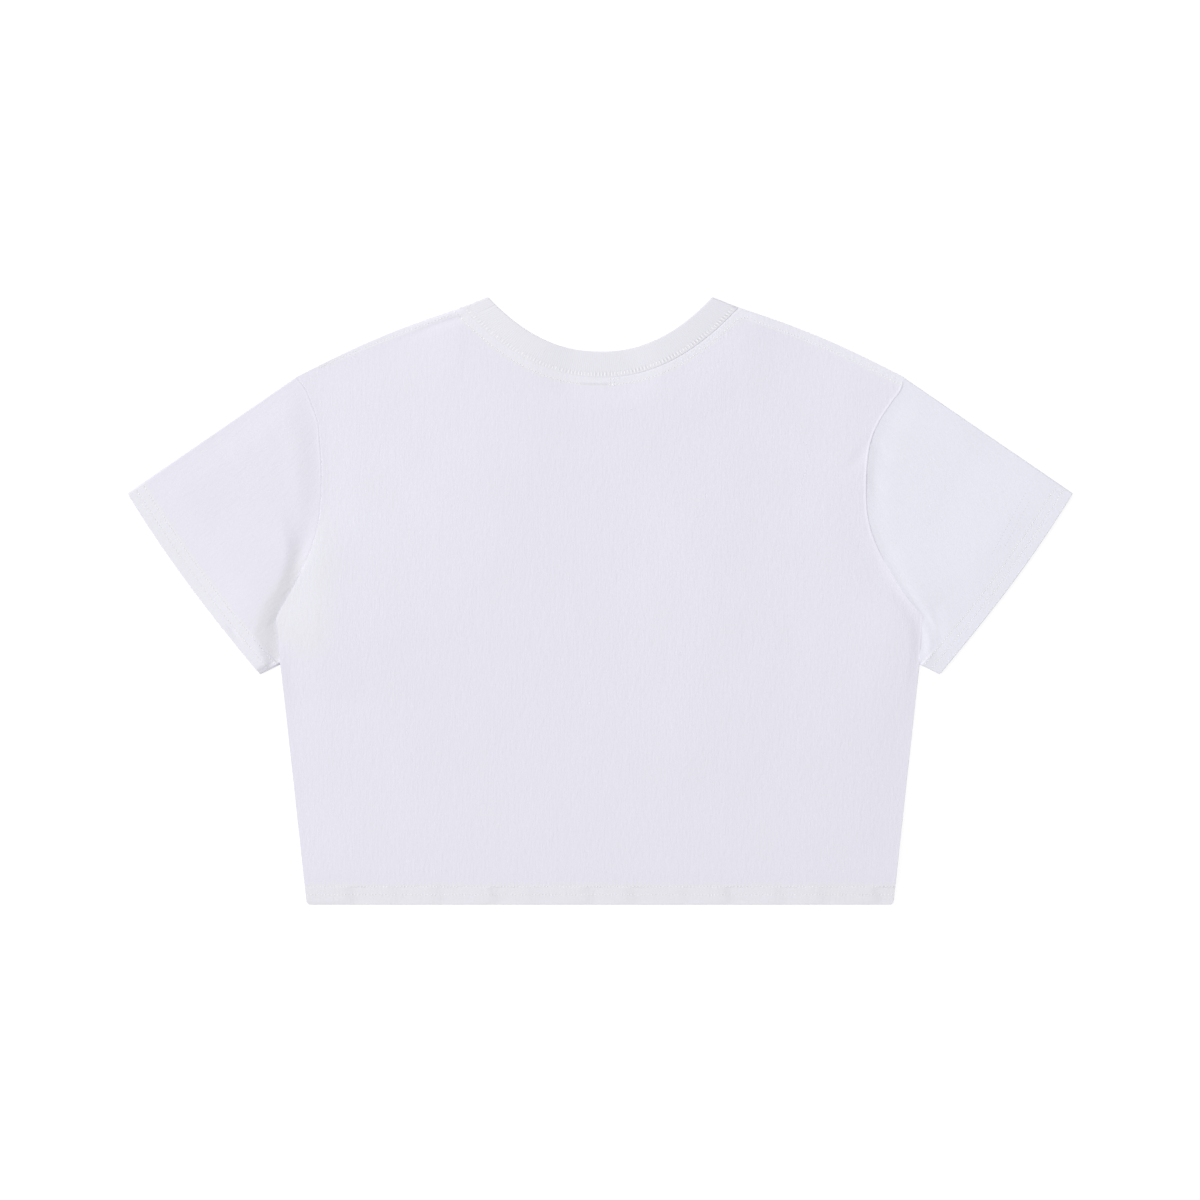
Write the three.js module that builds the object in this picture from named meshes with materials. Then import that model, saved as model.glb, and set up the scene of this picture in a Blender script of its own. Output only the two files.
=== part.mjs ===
// A cropped, boxy short-sleeved tee of cotton jersey, laid flat with its back up.
// Millimetres, +Z up. The neck points to +Y, and the wearer's left sleeve lies on -X.
// The origin is on the surface the tee lies on, under the middle of its outline.
// Every piece is a wall of cloth: two panels on each other, two flattened sleeve tubes,
// a ring of rib folded double, and the tape inside the back neck seam.
import * as THREE from 'three';

// Cloth and clearances
const CLOTH = 1.0; // one layer of jersey
const RIB = 2.0; // two layers of rib
const TAPE = 1.0; // the neck tape
const TAPE_INSET = 0.06; // share of the tape's width by which it stays back from the neck seam
const GAP = 0.3; // between pieces at a seam, and between layers that lie on each other
const LAYER = CLOTH + GAP; // one layer and the clearance over it

// The outline, laid flat
const HEM_Y = -238; // the folded lower edge
const HEM_REACH = 229.7; // half the hem's width
const SHOULDER = { x: 238, y: 175.3 }; // where shoulder, sleeve and armhole meet
const SHOULDER_BULGE = 3.6; // the shoulder line's rise over its chord
const PIT_Y = -12.3; // the lower end of the armhole
const CUFF_OUTER = { x: 370.4, y: 84.2 };
const CUFF_INNER = { x: 266.1, y: -57.7 };
const CUFF_BOW = 1.6; // the cuff edge's bow over its chord
const CUFF_BOW_POWER = 0.6; // under 1, the bow is fullest near the top fold
const HEM_DEPTH = 16; // turned-up cloth at the hem
const CUFF_DEPTH = 16; // turned-up cloth at the cuffs
const RAMP = 4; // length over which a doubled edge comes down to one layer

// Armhole seams: distance from the centre line to the left and the right seam
const ARMHOLE = [
  { y: SHOULDER.y, left: SHOULDER.x, right: SHOULDER.x },
  { y: 167, left: 231.2, right: 236.8 },
  { y: 154, left: 225.7, right: 228.0 },
  { y: 140, left: 220.8, right: 218.9 },
  { y: 126, left: 219.6, right: 212.9 },
  { y: 108, left: 218.3, right: 209.8 },
  { y: 88, left: 218.2, right: 208.9 },
  { y: 65, left: 220.0, right: 210.4 },
  { y: 45, left: 224.8, right: 216.2 },
  { y: 24, left: 233.4, right: 227.0 },
  { y: 5, left: 243.4, right: 239.4 },
  { y: PIT_Y, left: 252.9, right: 253.2 },
];
const SLEEVE_BASE = { y: -49.7, left: 250.4, right: 250.4 }; // where a sleeve's lower edge leaves the side
const STRAIGHT_ROWS = 5; // rows of facets between the sleeve's base and the hem's ramp

// Neck lines, each low + rise * (|x| / reach) ** power: the rib's folded edge and its seam
const NECK_REACH = 87.8;
const SEAM_REACH = 108.5;
const NECK_TOP = 238;
const SEAM_TOP = 229.8;
const BACK_EDGE = { low: 195.3, top: NECK_TOP, reach: NECK_REACH, power: 2.2 };
const BACK_SEAM = { low: 175.0, top: SEAM_TOP, reach: SEAM_REACH, power: 2.14 };
const FRONT_EDGE = { low: 150.0, top: NECK_TOP, reach: NECK_REACH, power: 2.4 };
const FRONT_SEAM = { low: 129.7, top: SEAM_TOP, reach: SEAM_REACH, power: 2.4 };
// How far past the front rib, and past the tape, the back panel stays up, and where it is down again
const RIB_RELIEF = { full: 14, end: 27 };
const TAPE_RELIEF = { full: 22, end: 40 };
// Shares of the back neck up to which its rib lies low, and from which it lies on the front rib
const RIB_LEVEL = { low: 0.2, up: 0.5 };

// Columns of facets across the panels
const SHOULDER_COLUMNS = 6;
const NECK_COLUMNS = 16;

// Lines across a sleeve: fanned ones, then the cuff's, at a depth or a limiting share of the sleeve
const SLEEVE_LINES = 7;
const CUFF_BAND = [
  { depth: CUFF_DEPTH + RAMP, limit: 0.9, wall: CLOTH },
  { depth: CUFF_DEPTH, limit: 0.75, wall: 2 * CLOTH },
  { depth: CUFF_DEPTH / 2, limit: 0.4, wall: 2 * CLOTH },
  { depth: 0, limit: 0, wall: 2 * CLOTH },
];

// Largest folds of the upper layer: soft ridges, turned from +X
const FOLDS = [
  { name: 'left side roll', x: -226, y: -12, turn: 65, length: 44, width: 17, height: 4.2 },
  { name: 'left sleeve swell', x: -296, y: 26, turn: 60, length: 60, width: 26, height: 3.6 },
  { name: 'right sleeve swell', x: 268, y: 22, turn: -52, length: 52, width: 22, height: 1.8 },
  { name: 'right pit fold', x: 258, y: -28, turn: -80, length: 16, width: 7, height: 1.4 },
];
const FOLD_HOLD = 16; // width along a closed side over which a fold dies out

const JERSEY_COLOUR = '#e6e4ef';
const RIB_COLOUR = '#e7e6ec';

const mix = (a, b, t) => a + (b - a) * t;
const smooth = (low, high, value) => THREE.MathUtils.smoothstep(value, low, high);
const between = (p, q, t) => ({ x: mix(p.x, q.x, t), y: mix(p.y, q.y, t) });
const distance = (p, q) => Math.hypot(q.x - p.x, q.y - p.y);

// A neck line's height at x, and its slope there.
const neckHeight = (line, x) => line.low + (line.top - line.low) * (Math.abs(x) / line.reach) ** line.power;
const neckSlope = (line, x) =>
  (line.power * (line.top - line.low) * (Math.abs(x) / line.reach) ** (line.power - 1)) / line.reach;

// A plan point on a neck line at a share of its reach, moved away from the neck by a clearance.
function neckPoint(line, share, clearance = 0) {
  const x = share * line.reach;
  const steep = Math.hypot(1, neckSlope(line, x));
  const out = { x: (Math.sign(share) * clearance * neckSlope(line, x)) / steep, y: -clearance / steep };
  return { x: x + out.x, y: neckHeight(line, x) + out.y };
}

// Two triangles for the face between four corners in turn.
const quad = (a, b, c, d) => [
  [a, b, c],
  [a, c, d],
];

// Closes a set of vertices and triangles into a named mesh, with its faces pointing out.
function solid(name, vertices, triangles, colour) {
  const corner = (index) => new THREE.Vector3(vertices[index].x, vertices[index].y, vertices[index].z);
  let volume = 0;
  for (const [a, b, c] of triangles) {
    volume += corner(a).dot(corner(b).cross(corner(c)));
  }
  const outward = volume > 0 ? triangles : triangles.map(([a, b, c]) => [a, c, b]);
  const geometry = new THREE.BufferGeometry();
  const positions = vertices.flatMap((v) => [v.x, v.y, v.z]);
  geometry.setAttribute('position', new THREE.Float32BufferAttribute(positions, 3));
  geometry.setIndex(outward.flat());
  geometry.computeVertexNormals();
  const material = new THREE.MeshStandardMaterial({ color: colour, roughness: 0.9, metalness: 0 });
  const mesh = new THREE.Mesh(geometry, material);
  mesh.name = name;
  return mesh;
}

// A sheet over a grid of plan points, given the heights of its underside and its upper side.
function sheet(name, grid, under, over, colour) {
  const rows = grid.length;
  const columns = grid[0].length;
  const vertices = [];
  for (const height of [over, under]) {
    for (const row of grid) {
      for (const p of row) {
        vertices.push({ x: p.x, y: p.y, z: height(p) });
      }
    }
  }
  const top = (r, c) => r * columns + c;
  const bottom = (r, c) => rows * columns + top(r, c);
  const triangles = [];
  const face = (...corners) => triangles.push(...quad(...corners));
  for (let r = 0; r + 1 < rows; r += 1) {
    for (let c = 0; c + 1 < columns; c += 1) {
      face(top(r, c), top(r, c + 1), top(r + 1, c + 1), top(r + 1, c));
      face(bottom(r, c), bottom(r + 1, c), bottom(r + 1, c + 1), bottom(r, c + 1));
    }
  }
  for (let c = 0; c + 1 < columns; c += 1) {
    face(top(0, c), bottom(0, c), bottom(0, c + 1), top(0, c + 1));
    face(top(rows - 1, c), top(rows - 1, c + 1), bottom(rows - 1, c + 1), bottom(rows - 1, c));
  }
  for (let r = 0; r + 1 < rows; r += 1) {
    face(top(r, 0), top(r + 1, 0), bottom(r + 1, 0), bottom(r, 0));
    face(top(r, columns - 1), bottom(r, columns - 1), bottom(r + 1, columns - 1), top(r + 1, columns - 1));
  }
  return solid(name, vertices, triangles, colour);
}

// How much of a doubled edge's second layer is there at a distance from that edge.
const doubled = (depth, fromEdge) => 1 - smooth(depth, depth + RAMP, fromEdge);
const hemShare = (p) => doubled(HEM_DEPTH, p.y - HEM_Y);

// Height that the folds add to the upper layer at a plan point.
function foldLift(p) {
  let lift = 0;
  for (const fold of FOLDS) {
    const turn = THREE.MathUtils.degToRad(fold.turn);
    const along = (p.x - fold.x) * Math.cos(turn) + (p.y - fold.y) * Math.sin(turn);
    const across = (p.y - fold.y) * Math.cos(turn) - (p.x - fold.x) * Math.sin(turn);
    lift += fold.height * Math.exp(-((along / fold.length) ** 2) - (across / fold.width) ** 2);
  }
  return lift;
}

// The body's side and armhole on one side, from the hem to the shoulder.
function bodyEdge(side) {
  const straight = [];
  const rampTop = HEM_Y + HEM_DEPTH + RAMP;
  for (let i = 0; i < STRAIGHT_ROWS; i += 1) {
    straight.push(mix(rampTop, SLEEVE_BASE.y, i / STRAIGHT_ROWS));
  }
  const sign = side === 'left' ? -1 : 1;
  const lower = [HEM_Y, HEM_Y + HEM_DEPTH / 2, HEM_Y + HEM_DEPTH, ...straight].map((y) => ({
    x: sign * mix(HEM_REACH, SLEEVE_BASE[side], (y - HEM_Y) / (SLEEVE_BASE.y - HEM_Y)),
    y,
  }));
  const upper = [...ARMHOLE, SLEEVE_BASE].reverse().map((row) => ({ x: sign * row[side], y: row.y }));
  return [...lower, ...upper];
}

// The panel's upper edge from the left shoulder over the neck to the right shoulder.
function upperEdge(seam) {
  const corner = neckPoint(seam, 1, GAP);
  const shoulder = [];
  for (let i = 0; i < SHOULDER_COLUMNS; i += 1) {
    const share = i / SHOULDER_COLUMNS;
    const p = between(SHOULDER, corner, share);
    shoulder.push({ x: p.x, y: p.y + SHOULDER_BULGE * Math.sin(Math.PI * share) });
  }
  const neck = [];
  for (let i = 0; i <= NECK_COLUMNS; i += 1) {
    neck.push(neckPoint(seam, mix(-1, 1, i / NECK_COLUMNS), GAP));
  }
  const left = shoulder.map((p) => ({ x: -p.x, y: p.y }));
  return [...left, ...neck, ...shoulder.reverse()];
}

// A grid of plan points between the four edges: rows run straight from side to side at the hem,
// and take on the upper edge's shape towards the neck.
function panelGrid(seam) {
  const left = bodyEdge('left');
  const right = bodyEdge('right');
  const upper = upperEdge(seam);
  const straightTop = HEM_Y + HEM_DEPTH + RAMP;
  return left.map((start, r) => {
    const share = Math.max(0, (start.y - straightTop) / (SHOULDER.y - straightTop));
    return upper.map((topPoint) => {
      const u = (topPoint.x + SHOULDER.x) / (2 * SHOULDER.x);
      const across = between(start, right[r], u);
      return { x: across.x, y: across.y + share * (topPoint.y - SHOULDER.y) };
    });
  });
}

// One where the back panel lies over the front rib, down to zero away from it.
function overFrontRib(p) {
  const x = Math.min(Math.abs(p.x), SEAM_REACH);
  const edge = neckHeight(FRONT_EDGE, Math.min(x, NECK_REACH));
  const middle = (edge + neckHeight(FRONT_SEAM, x)) / 2;
  const half = (edge - neckHeight(FRONT_SEAM, x)) / 2;
  const steep = Math.hypot(1, neckSlope(FRONT_SEAM, x));
  const past = Math.hypot(Math.max(0, Math.abs(p.y - middle) - half) / steep, Math.abs(p.x) - x);
  return 1 - smooth(RIB_RELIEF.full, RIB_RELIEF.end, past);
}

// One along the back neck seam, where the tape lies under the panel, down to zero away from it.
function overTape(p) {
  const x = Math.min(Math.abs(p.x), SEAM_REACH);
  const below = (neckHeight(BACK_SEAM, x) - p.y) / Math.hypot(1, neckSlope(BACK_SEAM, x));
  return 1 - smooth(TAPE_RELIEF.full, TAPE_RELIEF.end, Math.hypot(below, Math.abs(p.x) - x));
}

// How far a plan point is inside the closed side below the armhole; large above the pit.
function insideSide(p) {
  const edgeAt = mix(HEM_REACH, SLEEVE_BASE.right, (p.y - HEM_Y) / (SLEEVE_BASE.y - HEM_Y));
  return edgeAt - Math.abs(p.x) + FOLD_HOLD * smooth(SLEEVE_BASE.y, PIT_Y, p.y);
}

// Height of the back panel's underside: over the front, its hem, its rib, the tape and the folds.
function backUnder(p) {
  const neck = overFrontRib(p) * (RIB - CLOTH + LAYER * overTape(p));
  return LAYER + CLOTH * hemShare(p) + neck + smooth(0, FOLD_HOLD, insideSide(p)) * foldLift(p);
}

function backPanel() {
  const over = (p) => backUnder(p) + CLOTH + CLOTH * hemShare(p);
  return sheet('back_panel', panelGrid(BACK_SEAM), backUnder, over, JERSEY_COLOUR);
}

function frontPanel() {
  const over = (p) => CLOTH + CLOTH * hemShare(p);
  return sheet('front_panel', panelGrid(FRONT_SEAM), () => 0, over, JERSEY_COLOUR);
}

// The tape follows the back panel's own points along the neck seam, under it.
function neckTape() {
  const [lowerRow, upperRow] = panelGrid(BACK_SEAM).slice(-2);
  const topRow = upperRow.map((p, i) => between(p, lowerRow[i], TAPE_INSET));
  const alongNeck = (row) => row.slice(SHOULDER_COLUMNS, SHOULDER_COLUMNS + NECK_COLUMNS + 1);
  const strip = [alongNeck(lowerRow), alongNeck(topRow)];
  const over = (p) => backUnder(p) - GAP;
  return sheet('neck_tape', strip, (p) => over(p) - TAPE, over, RIB_COLOUR);
}

// Moves the points of an edge that runs down the right side out from the body by a clearance.
function movedOut(points, clearance) {
  return points.map((p, i) => {
    const before = points[Math.max(i - 1, 0)];
    const after = points[Math.min(i + 1, points.length - 1)];
    const share = clearance / distance(before, after);
    return { x: p.x + share * (before.y - after.y), y: p.y + share * (after.x - before.x) };
  });
}

// Plan lines of a sleeve on +X, each from the top fold to the underarm fold, with its wall.
// They fan out from the armhole and the body's side, and run beside the cuff's edge in its band.
function sleeveLines(side) {
  const edge = [...ARMHOLE, SLEEVE_BASE].map((row) => ({ x: row[side], y: row.y }));
  const start = movedOut(edge, GAP);
  const walked = [0];
  for (let k = 1; k < start.length; k += 1) {
    walked.push(walked[k - 1] + distance(start[k - 1], start[k]));
  }
  const cuffRun = distance(CUFF_OUTER, CUFF_INNER);
  const cuff = walked.map((length) => {
    const share = length / walked[walked.length - 1];
    const at = between(CUFF_OUTER, CUFF_INNER, share);
    const bow = (CUFF_BOW * Math.sin(Math.PI * share ** CUFF_BOW_POWER)) / cuffRun;
    return { x: at.x + bow * (CUFF_OUTER.y - CUFF_INNER.y), y: at.y - bow * (CUFF_OUTER.x - CUFF_INNER.x) };
  });
  const line = (wall, placed) => ({
    wall,
    points: start.map((p, k) => between(cuff[k], p, placed(distance(cuff[k], p)))),
  });
  const bandLine = (row, length) => Math.min(row.depth / length, row.limit);
  const lines = [];
  for (let i = 0; i < SLEEVE_LINES; i += 1) {
    lines.push(line(CLOTH, (length) => mix(1, bandLine(CUFF_BAND[0], length), i / SLEEVE_LINES)));
  }
  for (const row of CUFF_BAND) {
    lines.push(line(row.wall, (length) => bandLine(row, length)));
  }
  return lines;
}

// Rounding of a folded edge: share of the fold's radius inwards, and of its height.
const ROUNDING = [
  { inward: 0, rise: 0 },
  { inward: 0.3, rise: 0.71 },
  { inward: 1, rise: 1 },
];

// Plan stations across a flattened ring: rounded fold, the line's own points, rounded fold.
function ringStations(line, inset, radius) {
  const step = (from, to, length) => between(from, to, length / distance(from, to));
  const rounded = (from, to) =>
    ROUNDING.map((r) => ({ ...step(from, to, inset + r.inward * radius), rise: r.rise }));
  const middle = line.slice(1, -1).map((p) => ({ ...p, rise: 1 }));
  const end = line.length - 1;
  return [...rounded(line[0], line[1]), ...middle, ...rounded(line[end], line[end - 1]).reverse()];
}

// A sleeve: rings of cloth, each flattened between the top fold and the underarm fold.
function sleeve(name, side) {
  const sign = side === 'left' ? -1 : 1;
  const vertices = [];
  const lines = sleeveLines(side);
  const addRing = (line, inset, radius) => {
    const stations = ringStations(line.points, inset, radius);
    const height = (s, direction) => {
      const lift = direction > 0 ? s.rise * foldLift({ x: sign * s.x, y: s.y }) : 0;
      return line.wall + GAP / 2 + direction * s.rise * radius + lift;
    };
    const upper = stations.map((s) => ({ x: sign * s.x, y: s.y, z: height(s, 1) }));
    const lower = stations.slice(1, -1).map((s) => ({ x: sign * s.x, y: s.y, z: height(s, -1) }));
    const ring = [...upper, ...lower.reverse()];
    vertices.push(...ring);
    return ring.length;
  };
  let count = 0;
  for (const line of lines) {
    count = addRing(line, 0, line.wall + GAP / 2);
  }
  for (const line of lines) {
    addRing(line, line.wall, GAP / 2);
  }
  const outer = (ring, i) => ring * count + (i % count);
  const inner = (ring, i) => (lines.length + ring) * count + (i % count);
  const triangles = [];
  const face = (...corners) => triangles.push(...quad(...corners));
  const lastRing = lines.length - 1;
  for (let i = 0; i < count; i += 1) {
    for (let ring = 0; ring < lastRing; ring += 1) {
      face(outer(ring, i), outer(ring, i + 1), outer(ring + 1, i + 1), outer(ring + 1, i));
      face(inner(ring, i), inner(ring + 1, i), inner(ring + 1, i + 1), inner(ring, i + 1));
    }
    face(outer(0, i), inner(0, i), inner(0, i + 1), outer(0, i + 1));
    face(outer(lastRing, i), outer(lastRing, i + 1), inner(lastRing, i + 1), inner(lastRing, i));
  }
  return solid(name, vertices, triangles, JERSEY_COLOUR);
}

// The rib's section: share of its width from the folded edge, and of half its thickness.
const RIB_SECTION = [
  { across: 0, up: -0.4 },
  { across: 0, up: 0.4 },
  { across: 0.05, up: 1 },
  { across: 0.5, up: 1 },
  { across: 1, up: 1 },
  { across: 1, up: -1 },
  { across: 0.5, up: -1 },
  { across: 0.05, up: -1 },
];
const FOLD_STEPS = 4;

// The rib ring: along the back neck, round the fold at one side, along the front, round the other.
function neckRib() {
  const foldRadius = (RIB + GAP) / 2;
  const foldMiddle = RIB / 2 + foldRadius;
  const outward = new THREE.Vector2(NECK_TOP - SEAM_TOP, SEAM_REACH - NECK_REACH).normalize();
  const endShare = (line) => {
    const slope = neckSlope(line, line.reach);
    return 1 - (foldRadius + RIB / 2) / (outward.x + outward.y * slope) / line.reach;
  };
  const arcPoint = (line, share) => neckPoint(line, share * endShare(line));
  const level = LAYER + CLOTH / 2;
  const raised = foldMiddle + foldRadius;
  const rising = (t) => smooth(RIB_LEVEL.low, RIB_LEVEL.up, t);
  const arcs = {
    back: { edge: BACK_EDGE, seam: BACK_SEAM, turn: 0, z: (t) => mix(level, raised, rising(t)) },
    front: { edge: FRONT_EDGE, seam: FRONT_SEAM, turn: Math.PI, z: () => RIB / 2 },
  };
  const stations = [];
  const addArc = ({ edge, seam, turn, z }, from) => {
    for (let i = 0; i <= NECK_COLUMNS; i += 1) {
      const share = mix(from, -from, i / NECK_COLUMNS);
      stations.push({
        inside: arcPoint(edge, share),
        outside: arcPoint(seam, share),
        out: 0,
        z: z(Math.abs(share)),
        turn,
        side: 0,
      });
    }
  };
  const addFold = (side, from) => {
    for (let i = 1; i < FOLD_STEPS; i += 1) {
      const turn = from + (Math.PI * i) / FOLD_STEPS;
      const share = (1 - Math.cos(turn)) / 2;
      stations.push({
        inside: between(arcPoint(BACK_EDGE, side), arcPoint(FRONT_EDGE, side), share),
        outside: between(arcPoint(BACK_SEAM, side), arcPoint(FRONT_SEAM, side), share),
        out: foldRadius * Math.abs(Math.sin(turn)),
        z: foldMiddle + foldRadius * Math.cos(turn),
        turn,
        side,
      });
    }
  };
  addArc(arcs.back, -1);
  addFold(1, 0);
  addArc(arcs.front, 1);
  addFold(-1, Math.PI);
  const vertices = [];
  for (const s of stations) {
    for (const corner of RIB_SECTION) {
      const p = between(s.inside, s.outside, corner.across);
      const thick = (corner.up * RIB) / 2;
      const out = s.out + thick * Math.abs(Math.sin(s.turn));
      vertices.push({
        x: p.x + s.side * out * outward.x,
        y: p.y + out * outward.y * Math.abs(s.side),
        z: s.z + thick * Math.cos(s.turn),
      });
    }
  }
  const count = RIB_SECTION.length;
  const at = (station, i) => (station % stations.length) * count + (i % count);
  const triangles = [];
  for (let station = 0; station < stations.length; station += 1) {
    for (let i = 0; i < count; i += 1) {
      triangles.push(...quad(at(station, i), at(station, i + 1), at(station + 1, i + 1), at(station + 1, i)));
    }
  }
  return solid('neck_rib', vertices, triangles, RIB_COLOUR);
}

const tee = new THREE.Group();
tee.add(
  backPanel(),
  frontPanel(),
  sleeve('sleeve_left', 'left'),
  sleeve('sleeve_right', 'right'),
  neckRib(),
  neckTape(),
);

export default tee;
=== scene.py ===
"""A cropped boxy tee of cotton jersey, laid flat with its back up.

Each piece of cloth is a thin closed shell worked out with numpy from the garment's own cut: two panels on
each other, two flattened sleeve tubes, a ring of rib folded double, and the tape inside the back neck.
Seam rows are real threads laid on the cloth. Lengths are millimetres in the garment's frame until a mesh
is made: +X across the body, +Y from hem to neck, +Z up out of the back panel.
"""

import logging
from dataclasses import dataclass
from enum import Enum

import bpy
import numpy as np
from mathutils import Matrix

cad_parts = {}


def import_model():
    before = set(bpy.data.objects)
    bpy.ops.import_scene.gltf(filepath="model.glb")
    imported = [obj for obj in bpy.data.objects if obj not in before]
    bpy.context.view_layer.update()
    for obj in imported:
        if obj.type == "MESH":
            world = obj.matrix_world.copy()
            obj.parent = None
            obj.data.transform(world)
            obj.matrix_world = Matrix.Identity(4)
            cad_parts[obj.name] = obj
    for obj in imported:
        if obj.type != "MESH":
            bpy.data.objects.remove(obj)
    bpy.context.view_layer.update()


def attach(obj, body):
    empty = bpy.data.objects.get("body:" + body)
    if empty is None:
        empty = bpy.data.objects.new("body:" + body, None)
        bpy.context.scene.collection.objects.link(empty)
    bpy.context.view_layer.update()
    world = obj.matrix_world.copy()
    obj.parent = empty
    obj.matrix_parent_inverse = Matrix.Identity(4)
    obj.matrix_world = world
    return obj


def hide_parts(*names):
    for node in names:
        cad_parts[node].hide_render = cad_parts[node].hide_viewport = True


Array = np.ndarray
Piece = bpy.types.Object
Tree = bpy.types.NodeTree
Socket = bpy.types.NodeSocket
MM = 0.001  # metres in a millimetre
log = logging.getLogger("baby_tee")


# -------------------- Shapes of curves and soft steps --------------------


def smooth(low: float, high: float, value: Array) -> Array:
    """Soft step from 0 at low to 1 at high: 3t^2 - 2t^3 of the share t of the way."""
    share = np.clip((value - low) / (high - low), 0, 1)
    return share * share * (3 - 2 * share)


def mix(first: Array, second: Array, share: Array) -> Array:
    """The value a share of the way from first to second."""
    return first + (second - first) * share


def rounded(inset: Array, radius: Array) -> Array:
    """Quarter circle: share of the full half thickness at a distance in from a rounded edge."""
    share = np.clip(inset / radius, 0, 1)
    return np.sqrt(1 - (1 - share) ** 2)


def bell(distance: Array, width: Array) -> Array:
    """Bell curve: exp of minus the square of distance over width."""
    return np.exp(-((distance / width) ** 2))


def through(at: Array, values: Array, where: Array) -> Array:
    """Smooth curve through a short table.

    Between two rows it is the cubic that has the rows' values and the slopes that their neighbours give.

    Args:
        at: The table's positions, ascending.
        values: The table's values.
        where: Positions to work the curve out at.

    Returns:
        The curve's values, held level past both ends.
    """
    at, values = np.asarray(at, float), np.asarray(values, float)
    slopes = np.gradient(values, at)
    where = np.clip(where, at[0], at[-1])
    row = np.clip(np.searchsorted(at, where, side="right") - 1, 0, len(at) - 2)
    step = at[row + 1] - at[row]
    t = (where - at[row]) / step
    start = values[row] * (2 * t**3 - 3 * t**2 + 1) + values[row + 1] * (3 * t**2 - 2 * t**3)
    bend = slopes[row] * (t**3 - 2 * t**2 + t) + slopes[row + 1] * (t**3 - t**2)
    return start + step * bend


def stations(*spans: tuple[float, float, float]) -> Array:
    """Positions along a line of spans, each cut into equal parts.

    Args:
        spans: Start, end and longest part of each, one span beginning where the last one ends.

    Returns:
        The positions, ascending, with both ends.
    """
    hair = 1e-9  # so that rounding adds no part
    counts = [max(1, int(np.ceil((end - start) / step - hair))) for start, end, step in spans]
    parts = [np.linspace(start, end, n, endpoint=False) for (start, end, _), n in zip(spans, counts)]
    return np.concatenate([*parts, [spans[-1][1]]])


def walked(x: Array, y: Array) -> Array:
    """Length walked along lines of plan points, which run along the last axis, from 0 at the first point."""
    steps = np.hypot(np.diff(x, prepend=x[..., :1]), np.diff(y, prepend=y[..., :1]))
    return np.cumsum(steps, axis=-1)


def resampled(values: Array, marks: Array, at: Array) -> Array:
    """Values given at marks along a line, read off at other places; each is a number or a plan point."""
    if values.ndim == 1:
        return np.interp(at, marks, values)
    return np.stack([np.interp(at, marks, column) for column in values.T], axis=-1)


def sideways(x: Array, y: Array) -> tuple[Array, Array]:
    """Unit plan vectors to the left of the way a line of plan points runs."""
    run_x, run_y = np.gradient(x), np.gradient(y)
    length = np.hypot(run_x, run_y)
    return -run_y / length, run_x / length


@dataclass(frozen=True)
class Crease:
    """A soft ridge along a bent line, or a trough where its height is negative.

    Its height at a plan point is that of the nearest point of the line, times a bell curve of the distance,
    which has one width to the left of the way the line runs and another to its right.
    """

    knots: tuple[tuple[float, float, float], ...]
    left: float
    right: float

    def lift(self, x: Array, y: Array) -> Array:
        """Height that the crease adds at plan points.

        Args:
            x: Across the garment.
            y: Up the garment.

        Returns:
            The height, of the same shape as x.
        """
        knots = np.array(self.knots)
        along = walked(knots[:, 0], knots[:, 1])
        fine = np.linspace(0, along[-1], 6 * (len(knots) - 1) + 1)
        px, py, height = (through(along, knots[:, k], fine) for k in range(3))
        best = np.full(np.shape(x), np.inf)
        lift = np.zeros(np.shape(x))
        for i in range(len(fine) - 1):
            run = np.array([px[i + 1] - px[i], py[i + 1] - py[i]])
            share = np.clip(((x - px[i]) * run[0] + (y - py[i]) * run[1]) / (run @ run), 0, 1)
            off_x, off_y = x - px[i] - share * run[0], y - py[i] - share * run[1]
            away = np.hypot(off_x, off_y)
            width = np.where(run[0] * off_y - run[1] * off_x > 0, self.left, self.right)
            nearer = away < best
            best = np.where(nearer, away, best)
            lift = np.where(nearer, mix(height[i], height[i + 1], share) * bell(away, width), lift)
        return lift


@dataclass(frozen=True)
class Swell:
    """A soft ridge that runs up the garment, with a width of its own on each side at each height.

    At a height its section is a bell curve about the crest; crest, height and widths follow smooth curves
    through the table's rows.
    """

    rows: tuple[tuple[float, ...], ...]  # each y, crest's x, height, width to -X and width to +X

    def lift(self, x: Array, y: Array) -> Array:
        """Height that the swell adds at plan points."""
        rows = np.array(self.rows)
        crest, height, low, high = (through(rows[:, 0], rows[:, k], y) for k in range(1, 5))
        return height * bell(x - crest, np.where(x < crest, low, high))


def lifts(creases: tuple[Crease | Swell, ...], x: Array, y: Array) -> Array:
    """Sum of the heights of several creases at plan points."""
    return sum((crease.lift(x, y) for crease in creases), np.zeros(np.shape(x)))


def undulation(x: Array, y: Array, length: float, height: float, seed: int) -> Array:
    """Slack of cloth that lies flat: a sum of seven sine waves in seeded directions, lengths and phases."""
    rng = np.random.default_rng(seed)
    total = np.zeros(np.broadcast(x, y).shape)
    for turn, stretch, phase in rng.uniform((0, 0.7, 0), (np.pi, 1.6, 2 * np.pi), (7, 3)):
        wave = 2 * np.pi / (length * stretch)
        total += np.sin(wave * (x * np.cos(turn) + y * np.sin(turn)) + phase)
    return height * total / np.sqrt(7)


# -------------------- The cut --------------------


class Side(Enum):
    """The side of the laid-out garment; the value is its sign along X."""

    LEFT = -1
    RIGHT = 1


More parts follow.
